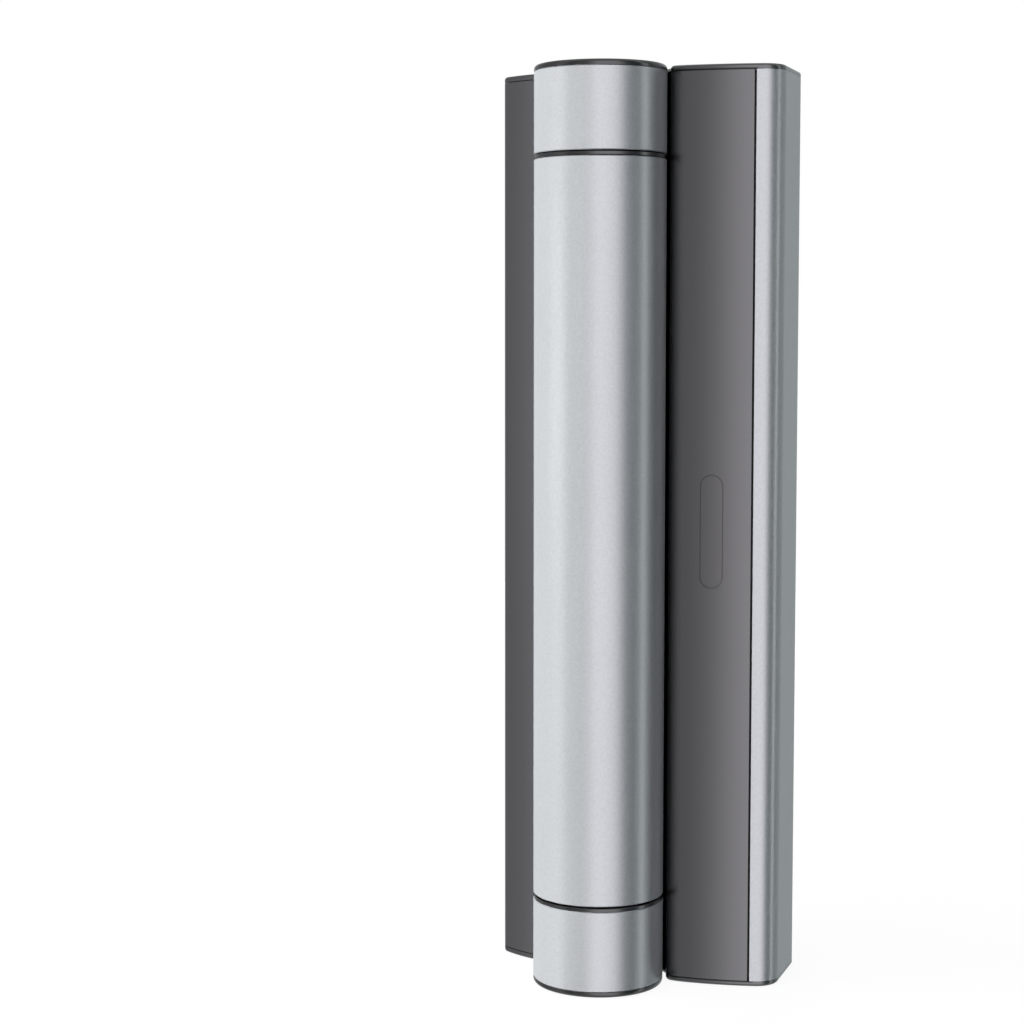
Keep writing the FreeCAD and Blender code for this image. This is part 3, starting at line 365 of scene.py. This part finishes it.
def makeRing(node, setup):
    low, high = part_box(node)
    outer, edge = setup["outerRadius"], setup["edge"]
    inner, neck = setup["innerRadius"], setup["neckRadius"]
    shoulder = high[2] - setup["neckHeight"]
    section = [(inner, low[2]), (outer - edge, low[2]), (outer, low[2] + edge),
               (outer, shoulder - edge), (outer - edge, shoulder), (neck, shoulder),
               (neck, high[2]), (inner, high[2])]
    verts = []
    faces = []
    steps, count = setup["steps"], len(section)
    for i in range(steps):
        turn = 2 * math.pi * i / steps
        for radius, z in section:
            verts.append((*stepped(barrelAxis, turn, radius), z))
        for k in range(count):
            here, there = i * count, (i + 1) % steps * count
            faces.append((here + k, there + k, there + (k + 1) % count, here + (k + 1) % count))
    mesh = bpy.data.meshes.new(node + "Turned")
    mesh.from_pydata(verts, [], faces)
    # The ring's neck takes painted shade from its finish
    addPiece(node + "_turned", softened(mesh), "post_side", [node], gapShadeFinish[node])


for ringNode in ("upper_thrust_ring", "lower_thrust_ring"):
    makeRing(ringNode, thrustRing)
print("thrust rings turned")


# The post leaf's cover: a bowed front, a soft edge towards the barrel, legs inside, and a bare
# groove in the shape of a pill
postCover = {
    "bowRadius": 0.130,
    "bowX": -0.0090,
    "frontY": -0.0463,
    "rightX": 0.01885,
    "easeStart": 1.8,
    "easeTurn": 14.0,
    "easeRadius": 0.018,
    "edgeRadius": 0.004,
    "wall": 0.0022,
    "returnY": -0.0407,
    "legX": (-0.016175, -0.014975),
    "legEndY": -0.03555,
    "hookX": (0.0125, 0.0137),
    "barbX": 0.0146,
    "barbY": (-0.0378, -0.0393),
    "endStretch": 0.0002,
    "pillX": 0.00099,
    "pillSize": (0.0103, 0.052),
    "grooveWidth": 0.0005,
    "grooveDepth": 0.0003,
    # how much painted shade darkens the groove's line
    "grooveShade": 0.35,
    "toolReach": 0.002,
    "bowSteps": 36,
    "easeSteps": 12,
    "edgeSteps": 16,
    "innerSteps": 24,
    "pillSteps": 24,
}
bowTurn = math.radians(-90.0 - postCover["easeStart"])
edgeTurn = bowTurn - math.radians(postCover["easeTurn"])


# The bow runs into a tighter arc, and that into the small round edge beside the barrel
bowCentre = (postCover["bowX"], postCover["frontY"] + postCover["bowRadius"])
easeCentre = stepped(bowCentre, bowTurn, postCover["bowRadius"] - postCover["easeRadius"])
edgeCentre = stepped(easeCentre, edgeTurn, postCover["easeRadius"] - postCover["edgeRadius"])


def frontAt(x, inset=0.0):
    # How far forward the front lies at one x, or a surface that is inset behind it
    radius = postCover["bowRadius"] - inset
    centre = bowCentre
    if x < stepped(bowCentre, bowTurn, radius)[0]:
        radius = postCover["easeRadius"] - inset
        centre = easeCentre
    return centre[1] - math.sqrt(radius ** 2 - (x - centre[0]) ** 2)


def spread(start, end, count):
    return [start + (end - start) * i / count for i in range(count + 1)]


def coverSection(setup):
    outer, inner = setup["edgeRadius"], setup["edgeRadius"] - setup["wall"]
    easeX = stepped(bowCentre, bowTurn, setup["bowRadius"])[0]
    edgeX = stepped(edgeCentre, edgeTurn, outer)[0]
    innerX = stepped(edgeCentre, edgeTurn, inner)[0]
    leg, hook, barb = setup["legX"], setup["hookX"], setup["barbY"]
    frontX = spread(setup["rightX"], easeX, setup["bowSteps"])
    frontX += spread(easeX, edgeX, setup["easeSteps"])[1:]

    def behind(start, end, count):
        return [(x, frontAt(x, setup["wall"])) for x in spread(start, end, count)]

    points = [(x, frontAt(x)) for x in frontX]
    points += [stepped(edgeCentre, turn, outer)
               for turn in spread(edgeTurn, -math.pi, setup["edgeSteps"])[1:]]
    points += [(edgeCentre[0] - reach, setup["returnY"]) for reach in (outer, inner)]
    points += [stepped(edgeCentre, turn, inner)
               for turn in spread(-math.pi, edgeTurn, setup["edgeSteps"] // 2)]
    points += behind(innerX, leg[0], 2)[1:]
    points += [(x, setup["legEndY"]) for x in leg]
    points += behind(leg[1], hook[0], setup["innerSteps"])
    points += [(hook[0], barb[0]), (setup["barbX"], barb[0])]
    points += [(setup["barbX"], barb[1]), (hook[1], barb[1])]
    points += behind(hook[1], setup["rightX"], setup["innerSteps"] // 4)
    return points


def extruded(name, section, low, high):
    count = len(section)
    verts = [(x, y, z) for z in (low, high) for x, y in section]
    faces = [(k, (k + 1) % count, (k + 1) % count + count, k + count) for k in range(count)]
    faces += [tuple(range(count)), tuple(range(2 * count - 1, count - 1, -1))]
    mesh = bpy.data.meshes.new(name)
    mesh.from_pydata(verts, [], faces)
    return mesh


def pillTool(setup):
    # A closed band along the pill's line, from in front of the cover down to the groove's floor
    straight = (setup["pillSize"][1] - setup["pillSize"][0]) / 2
    turns = spread(0, math.pi, setup["pillSteps"])
    lines = []
    for side in (1, -1):
        radius = setup["pillSize"][0] / 2 + side * setup["grooveWidth"] / 2
        line = [(radius * math.cos(t), straight + radius * math.sin(t)) for t in turns]
        lines.append([(setup["pillX"] + x, z) for x, z in line + [(-x, -z) for x, z in line]])
    depths = (-setup["toolReach"], setup["grooveDepth"])
    outline = [[(x, frontAt(x) + depth, z) for x, z in line for depth in depths] for line in lines]
    verts = outline[0] + outline[1]
    count = len(lines[0])
    faces = []
    for k in range(count):
        a, b = 2 * k, 2 * ((k + 1) % count)
        c, d = a + 2 * count, b + 2 * count
        faces += [(a, b, b + 1, a + 1), (c, c + 1, d + 1, d)]
        faces += [(a, c, d, b), (a + 1, b + 1, d + 1, c + 1)]
    mesh = bpy.data.meshes.new("pillTool")
    mesh.from_pydata(verts, [], faces)
    return softened(mesh)


def grooveShadeMaterial(setup):
    # The cover's paint, a little darker along the pill's line: painted shade in the groove
    material = finishMaterial("cover_paint_groove_shade", finishes["cover_paint"])
    tree = material.node_tree
    width, height = setup["pillSize"]
    place = addNode(tree, "ShaderNodeTexCoord")
    parts = addNode(tree, "ShaderNodeSeparateXYZ")
    tree.links.new(place.outputs["Object"], parts.inputs["Vector"])
    across = calc(tree, "SUBTRACT", parts.outputs["X"], setup["pillX"])
    upright = calc(tree, "ABSOLUTE", parts.outputs["Z"])
    beyond = calc(tree, "MAXIMUM", calc(tree, "SUBTRACT", upright, (height - width) / 2), 0.0)
    squares = [calc(tree, "MULTIPLY", side, side) for side in (across, beyond)]
    reach = calc(tree, "SQRT", calc(tree, "ADD", *squares))
    onLine = calc(tree, "COMPARE", reach, width / 2, setup["grooveWidth"] / 2)
    paintShade(material, calc(tree, "MULTIPLY", onLine, setup["grooveShade"]))
    return material


def makeCover(setup):
    low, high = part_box("post_leaf_cover")
    stretch = setup["endStretch"]
    shell = extruded("coverShell", coverSection(setup), low[2] - stretch, high[2] + stretch)
    cover = bpy.data.objects.new("coverShell", softened(shell))
    tool = bpy.data.objects.new("pillTool", pillTool(setup))
    for obj in (cover, tool):
        bpy.context.collection.objects.link(obj)
    cut = cover.modifiers.new("groove", "BOOLEAN")
    cut.operation = "DIFFERENCE"
    cut.solver = "EXACT"
    cut.object = tool
    mesh = bakedMesh(cover)
    bpy.data.objects.remove(tool)
    addPiece("post_cover_bowed", evenNormals(softened(mesh)), "post_side",
             ["post_leaf_cover"], grooveShadeMaterial(setup))


makeCover(postCover)


# The post leaf's end caps get the cover's soft edge: their small corner grows to its radius, and
# the hollow's wall behind it moves along
capCorner = {
    "oldCentre": (-0.016623, -0.044473),
    "oldRadius": 0.0016,
    "reach": 0.00165,
    "hollowRadius": 0.03325,
    "rimWidth": 0.0015,
    "wallEnd": -0.0370,
    "mergeDistance": 0.000001,
    "flatAngle": 0.3,
    "tolerance": 0.00001,
}


def makeCap(node, setup, cover):
    mesh = nodes[node].data.copy()
    shell = bmesh.new()
    shell.from_mesh(mesh)
    bmesh.ops.remove_doubles(shell, verts=shell.verts, dist=setup["mergeDistance"])
    bmesh.ops.dissolve_limit(shell, angle_limit=math.radians(setup["flatAngle"]), verts=shell.verts,
                             edges=shell.edges)
    oldX, oldY = setup["oldCentre"]
    grown = cover["edgeRadius"] - setup["oldRadius"]
    near = setup["tolerance"]
    moved = 0
    for vert in shell.verts:
        inset = math.dist(vert.co[:2], barrelAxis) - setup["hollowRadius"]
        away = Vector((vert.co.x - oldX, vert.co.y - oldY))
        if away.y < near and away.length < setup["reach"]:
            turn = math.atan2(away.y, away.x)
            turn = min(turn - 2 * math.pi if turn > 0 else turn, edgeTurn)
            vert.co.x, vert.co.y = stepped(edgeCentre, turn, away.length + grown)
            moved += 1
        elif vert.co.y < setup["wallEnd"] and -near < inset < setup["rimWidth"] + near:
            share = max(0.0, (vert.co.y - oldY) / (setup["wallEnd"] - oldY))
            vert.co.y = edgeCentre[1] + share * (setup["wallEnd"] - edgeCentre[1])
            wallRadius = setup["hollowRadius"] + inset
            wallX = barrelAxis[0] + math.sqrt(wallRadius ** 2 - (vert.co.y - barrelAxis[1]) ** 2)
            vert.co.x = min(wallX, edgeCentre[0] - cover["edgeRadius"] + inset)
            moved += 1
    bmesh.ops.triangulate(shell, faces=shell.faces)
    shell.to_mesh(mesh)
    shell.free()
    addPiece(node + "_soft", evenNormals(softened(mesh)), "post_side",
             [node], materials["leaf_cap_plastic"])
    return moved


for capNode in ("post_leaf_top_cap", "post_leaf_bottom_cap"):
    print(capNode, "points moved:", makeCap(capNode, capCorner, postCover))
print("cover and its caps made")


# Cap screws: a countersunk head with a hexagonal socket, on a threaded shank
capScrew = {
    "Head radius": 0.0038,
    "Core radius": 0.00145,
    "Head height": 0.002,
    "Length": 0.014,
    "Socket radius": 0.0014,
    "Socket depth": 0.0013,
    "Thread pitch": 0.0007,
    "Thread depth": 0.0002,
}
screwMaking = {
    "headSides": 40,
    "socketSides": 6,
    "shankSides": 24,
    "ringsPerPitch": 4.0,
    "spin": 0.4,  # each screw is turned a little further than the one before
    "rimTolerance": 0.000001,
    "rimReach": 2.2,  # points of one rim lie nearer to each other than this many head radii
}


def screwTree(sizes, setup, material):
    # One screw hangs below each point of the input; the attribute turn tips it over
    tree = bpy.data.node_groups.new("capScrews", "GeometryNodeTree")
    addSocket = tree.interface.new_socket
    addSocket("Geometry", in_out="OUTPUT", socket_type="NodeSocketGeometry")
    addSocket("Geometry", in_out="INPUT", socket_type="NodeSocketGeometry")
    sockets = {name: addSocket(name, in_out="INPUT", socket_type="NodeSocketFloat").identifier
               for name in sizes}
    start = addNode(tree, "NodeGroupInput")
    end = addNode(tree, "NodeGroupOutput")
    link = tree.links.new
    size = {name: start.outputs[name] for name in sizes}

    def shifted(geometry, height):
        way = addNode(tree, "ShaderNodeCombineXYZ")
        move = addNode(tree, "GeometryNodeTransform")
        link(height, way.inputs["Z"])
        link(geometry, move.inputs["Geometry"])
        link(way.outputs["Vector"], move.inputs["Translation"])
        return move.outputs["Geometry"]

    head = addNode(tree, "GeometryNodeMeshCone")
    head.inputs["Vertices"].default_value = setup["headSides"]
    link(size["Head radius"], head.inputs["Radius Top"])
    link(size["Core radius"], head.inputs["Radius Bottom"])
    link(size["Head height"], head.inputs["Depth"])
    headPlaced = shifted(head.outputs["Mesh"], calc(tree, "MULTIPLY", size["Head height"], -1.0))
    socket = addNode(tree, "GeometryNodeMeshCylinder")
    socket.inputs["Vertices"].default_value = setup["socketSides"]
    link(size["Socket radius"], socket.inputs["Radius"])
    link(calc(tree, "MULTIPLY", size["Socket depth"], 2.0), socket.inputs["Depth"])
    cut = addNode(tree, "GeometryNodeMeshBoolean", operation="DIFFERENCE")
    link(headPlaced, cut.inputs["Mesh 1"])
    link(socket.outputs["Mesh"], cut.inputs["Mesh 2"])

    # The shank's points move outwards along a helix, which makes the thread
    shank = addNode(tree, "GeometryNodeMeshCylinder")
    shank.inputs["Vertices"].default_value = setup["shankSides"]
    run = calc(tree, "SUBTRACT", size["Length"], size["Head height"])
    pitches = calc(tree, "DIVIDE", run, size["Thread pitch"])
    link(size["Core radius"], shank.inputs["Radius"])
    link(run, shank.inputs["Depth"])
    link(calc(tree, "MULTIPLY", pitches, setup["ringsPerPitch"]), shank.inputs["Side Segments"])
    place = addNode(tree, "GeometryNodeInputPosition")
    parts = addNode(tree, "ShaderNodeSeparateXYZ")
    link(place.outputs["Position"], parts.inputs["Vector"])
    turned = calc(tree, "ARCTAN2", parts.outputs["Y"], parts.outputs["X"])
    around = calc(tree, "DIVIDE", turned, 2 * math.pi)
    along = calc(tree, "DIVIDE", parts.outputs["Z"], size["Thread pitch"])
    wave = calc(tree, "PINGPONG", calc(tree, "ADD", along, around), 0.5)
    rise = calc(tree, "MULTIPLY", calc(tree, "MULTIPLY", wave, 2.0), size["Thread depth"])
    outward = addNode(tree, "ShaderNodeVectorMath", operation="MULTIPLY")
    link(place.outputs["Position"], outward.inputs[0])
    outward.inputs[1].default_value = (1.0, 1.0, 0.0)
    even = addNode(tree, "ShaderNodeVectorMath", operation="NORMALIZE")
    link(outward.outputs["Vector"], even.inputs[0])
    stretch = addNode(tree, "ShaderNodeVectorMath", operation="SCALE")
    link(even.outputs["Vector"], stretch.inputs["Vector"])
    link(rise, stretch.inputs["Scale"])
    thread = addNode(tree, "GeometryNodeSetPosition")
    link(shank.outputs["Mesh"], thread.inputs["Geometry"])
    link(stretch.outputs["Vector"], thread.inputs["Offset"])
    both = calc(tree, "ADD", size["Length"], size["Head height"])
    shankPlaced = shifted(thread.outputs["Geometry"], calc(tree, "MULTIPLY", both, -0.5))

    screw = addNode(tree, "GeometryNodeJoinGeometry")
    link(cut.outputs["Mesh"], screw.inputs["Geometry"])
    link(shankPlaced, screw.inputs["Geometry"])
    turn = addNode(tree, "GeometryNodeInputNamedAttribute", data_type="FLOAT_VECTOR")
    turn.inputs["Name"].default_value = "turn"
    tipped = addNode(tree, "FunctionNodeEulerToRotation")
    link(turn.outputs["Attribute"], tipped.inputs["Euler"])
    spots = addNode(tree, "GeometryNodeInstanceOnPoints")
    link(start.outputs["Geometry"], spots.inputs["Points"])
    link(screw.outputs["Geometry"], spots.inputs["Instance"])
    link(tipped.outputs["Rotation"], spots.inputs["Rotation"])
    real = addNode(tree, "GeometryNodeRealizeInstances")
    link(spots.outputs["Instances"], real.inputs["Geometry"])
    dress = addNode(tree, "GeometryNodeSetMaterial")
    dress.inputs["Material"].default_value = material
    link(real.outputs["Geometry"], dress.inputs["Geometry"])
    link(dress.outputs["Geometry"], end.inputs["Geometry"])
    return tree, sockets


def screwPlaces(node):
    # The middle of each screw head's rim, read from the CAD node: (x, y, z, points up)
    rims = []
    low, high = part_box(node)
    rimReach = screwMaking["rimReach"] * capScrew["Head radius"]
    for edge, up in ((low[2], False), (high[2], True)):
        groups = []
        for point in (vert.co for vert in nodes[node].data.vertices):
            if abs(point.z - edge) >= screwMaking["rimTolerance"]:
                continue
            group = next((g for g in groups if (g[0] - point).length < rimReach), None)
            if group is None:
                groups.append([point])
            else:
                group.append(point)
        for group in groups:
            xs = [p.x for p in group]
            ys = [p.y for p in group]
            rims.append(((min(xs) + max(xs)) / 2, (min(ys) + max(ys)) / 2, edge, up))
    return rims


def makeScrews(node, body, tree, sockets):
    places = screwPlaces(node)
    mesh = bpy.data.meshes.new(node + "Places")
    mesh.from_pydata([place[:3] for place in places], [], [])
    turns = mesh.attributes.new("turn", "FLOAT_VECTOR", "POINT")
    for k, place in enumerate(places):
        turns.data[k].vector = (0.0 if place[3] else math.pi, 0.0, screwMaking["spin"] * k)
    holder = bpy.data.objects.new(node + "Places", mesh)
    modifier = holder.modifiers.new("screws", "NODES")
    modifier.node_group = tree
    for name, value in capScrew.items():
        modifier[sockets[name]] = value
    bpy.context.collection.objects.link(holder)
    addPiece(node + "_threaded", softened(bakedMesh(holder)), body, [node],
             materials["screw_steel"])
    return len(places)


screws, screwSockets = screwTree(capScrew, screwMaking, materials["screw_steel"])
for screwNode, screwBody in (("post_cap_screws", "post_side"), ("gate_cap_screws", "gate_side")):
    print(screwNode, "made:", makeScrews(screwNode, screwBody, screws, screwSockets))


# The studio: a pale floor, a white world, soft lamps, and a screen that only reflections see
lilac = (1.0, 0.975, 1.03)
teal = (0.84, 1.0, 1.05)
sea = (0.92, 1.0, 1.01)
plain = (0.97, 1.0, 1.02)
studio = {
    "ambientColour": (0.86, 1.0, 1.03),
    "worldAmbient": 0.045,
    "floorSize": 3.0,
    "floorColour": (0.22, 0.22, 0.22),
    "floorGlow": 0.92,
    "screenRadius": 2.4,
    "screenLow": -2.5,
    "screenHigh": 3.0,
    "screenSteps": 180,
    # Reflected brightness and tint by azimuth in degrees, 0 along +X and -90 towards the front
    "screenLevels": [
        (-180, 0.54, plain), (-171, 0.66, lilac), (-158, 0.80, lilac), (-152, 1.20, lilac),
        (-140, 1.20, plain), (-134, 0.8, plain), (-127, 0.42, sea), (-112, 0.82, plain),
        (-105, 0.74, plain), (-98, 0.90, lilac), (-92, 1.38, lilac),
        (-86, 2.30, lilac), (-79, 2.9, lilac), (-46, 2.9, lilac), (-38, 1.9, lilac),
        (-30, 0.53, teal), (-10, 0.27, teal), (1, 0.27, teal), (5, 2.8, plain), (12, 2.8, plain),
        (16, 0.33, teal), (22, 0.33, teal), (31, 0.78, sea), (64, 0.70, sea), (92, 0.77, sea),
        (100, 0.60, plain), (120, 0.68, plain), (150, 0.47, plain), (180, 0.54, plain),
    ],
}


def makeWorld(setup):
    world = bpy.data.worlds.new("studioWorld")
    bpy.context.scene.world = world
    world.use_nodes = True
    tree = world.node_tree
    tree.nodes.clear()
    output = addNode(tree, "ShaderNodeOutputWorld")
    rays = addNode(tree, "ShaderNodeLightPath").outputs
    seen = calc(tree, "MAXIMUM", rays["Is Camera Ray"], rays["Is Glossy Ray"])
    seen = calc(tree, "MAXIMUM", seen, rays["Is Transmission Ray"])
    ambient = addNode(tree, "ShaderNodeBackground")
    ambient.inputs["Color"].default_value = (*setup["ambientColour"], 1.0)
    ambient.inputs["Strength"].default_value = setup["worldAmbient"]
    white = addNode(tree, "ShaderNodeBackground")
    white.inputs["Color"].default_value = (1.0, 1.0, 1.0, 1.0)
    white.inputs["Strength"].default_value = 1.0
    mix = addNode(tree, "ShaderNodeMixShader")
    tree.links.new(seen, mix.inputs["Fac"])
    tree.links.new(ambient.outputs["Background"], mix.inputs[1])
    tree.links.new(white.outputs["Background"], mix.inputs[2])
    tree.links.new(mix.outputs["Shader"], output.inputs["Surface"])


def makeFloor(setup):
    half = setup["floorSize"] / 2
    low = cadBox[0][2]
    mesh = bpy.data.meshes.new("floor")
    corners = [(-half, -half, low), (half, -half, low), (half, half, low), (-half, half, low)]
    mesh.from_pydata(corners, [], [(0, 1, 2, 3)])
    floor = bpy.data.objects.new("floor", mesh)
    bpy.context.collection.objects.link(floor)
    material, tree, output = newMaterial("paleFloor")
    matt = addNode(tree, "ShaderNodeBsdfDiffuse")
    matt.inputs["Color"].default_value = (*setup["floorColour"], 1.0)
    glow = addNode(tree, "ShaderNodeEmission")
    glow.inputs["Strength"].default_value = setup["floorGlow"]
    rays = addNode(tree, "ShaderNodeLightPath")
    none = addNode(tree, "ShaderNodeEmission")
    none.inputs["Strength"].default_value = 0.0
    seen = addNode(tree, "ShaderNodeMixShader")
    tree.links.new(rays.outputs["Is Camera Ray"], seen.inputs["Fac"])
    tree.links.new(none.outputs["Emission"], seen.inputs[1])
    tree.links.new(glow.outputs["Emission"], seen.inputs[2])
    both = addNode(tree, "ShaderNodeAddShader")
    tree.links.new(matt.outputs["BSDF"], both.inputs[0])
    tree.links.new(seen.outputs["Shader"], both.inputs[1])
    tree.links.new(both.outputs["Shader"], output.inputs["Surface"])
    mesh.materials.append(material)
    floor.visible_glossy = False


def makeScreen(setup):
    # A ring around the object whose brightness changes with the azimuth
    levels = setup["screenLevels"]
    steps = setup["screenSteps"]
    verts = []
    faces = []
    for i in range(steps + 1):
        turn = math.radians(-180 + 360 * i / steps)
        for z in (setup["screenLow"], setup["screenHigh"]):
            verts.append((*stepped((0.0, 0.0), turn, setup["screenRadius"]), z))
        if i:
            k = 2 * i
            faces.append((k - 2, k, k + 1, k - 1))
    mesh = bpy.data.meshes.new("reflectionScreen")
    mesh.from_pydata(verts, [], faces)
    material, tree, output = newMaterial("screenGlow")
    place = addNode(tree, "ShaderNodeTexCoord")
    parts = addNode(tree, "ShaderNodeSeparateXYZ")
    tree.links.new(place.outputs["Object"], parts.inputs["Vector"])
    share = addNode(tree, "ShaderNodeMapRange")
    share.inputs["From Min"].default_value = -math.pi
    share.inputs["From Max"].default_value = math.pi
    turn = calc(tree, "ARCTAN2", parts.outputs["Y"], parts.outputs["X"])
    tree.links.new(turn, share.inputs["Value"])
    ramp = addNode(tree, "ShaderNodeValToRGB")
    peak = max(level for azimuth, level, tint in levels)
    stops = ramp.color_ramp.elements
    for k, (azimuth, level, tint) in enumerate(levels):
        position = (azimuth + 180) / 360
        stop = stops[k] if k < 2 else stops.new(position)
        stop.position = position
        stop.color = (*[level / peak * channel / max(lilac) for channel in tint], 1.0)
    tree.links.new(share.outputs["Result"], ramp.inputs["Fac"])
    glow = addNode(tree, "ShaderNodeEmission")
    glow.inputs["Strength"].default_value = peak * max(lilac)
    tree.links.new(ramp.outputs["Color"], glow.inputs["Color"])
    tree.links.new(glow.outputs["Emission"], output.inputs["Surface"])
    mesh.materials.append(material)
    screen = bpy.data.objects.new("reflectionScreen", mesh)
    bpy.context.collection.objects.link(screen)
    screen.visible_camera = False
    screen.visible_diffuse = False
    screen.visible_shadow = False
    screen.visible_transmission = False
    screen.visible_volume_scatter = False


# level is how bright the lamp makes a white face that is turned to it
lamps = {
    "keyLamp": {"azimuth": -152.0, "elevation": 0.0, "distance": 3.0, "size": (1.8, 0.40),
                "level": 1.08},
    "frontLamp": {"azimuth": -108.0, "elevation": 4.0, "distance": 2.6, "size": (1.2, 0.7),
                  "level": 0.14},
    "topLamp": {"azimuth": -140.0, "elevation": 72.0, "distance": 3.0, "size": (2.2, 2.2),
                "level": 0.26},
    "backLamp": {"azimuth": 110.0, "elevation": 10.0, "distance": 2.6, "size": (1.6, 0.9),
                 "level": 0.30},
}


def makeLamp(name, setup):
    data = bpy.data.lights.new(name, "AREA")
    data.shape = "RECTANGLE"
    data.size, data.size_y = setup["size"]
    data.energy = setup["level"] * math.pi ** 2 * setup["distance"] ** 2
    lamp = bpy.data.objects.new(name, data)
    turn = math.radians(setup["azimuth"])
    rise = math.radians(setup["elevation"])
    way = Vector((math.cos(rise) * math.cos(turn), math.cos(rise) * math.sin(turn), math.sin(rise)))
    lamp.location = way * setup["distance"]
    lamp.rotation_euler = way.to_track_quat("Z", "Y").to_euler()
    lamp.visible_glossy = False
    lamp.visible_camera = False
    bpy.context.collection.objects.link(lamp)


makeWorld(studio)
makeFloor(studio)
makeScreen(studio)
for lampName, lampSetup in lamps.items():
    makeLamp(lampName, lampSetup)
print("studio lit")
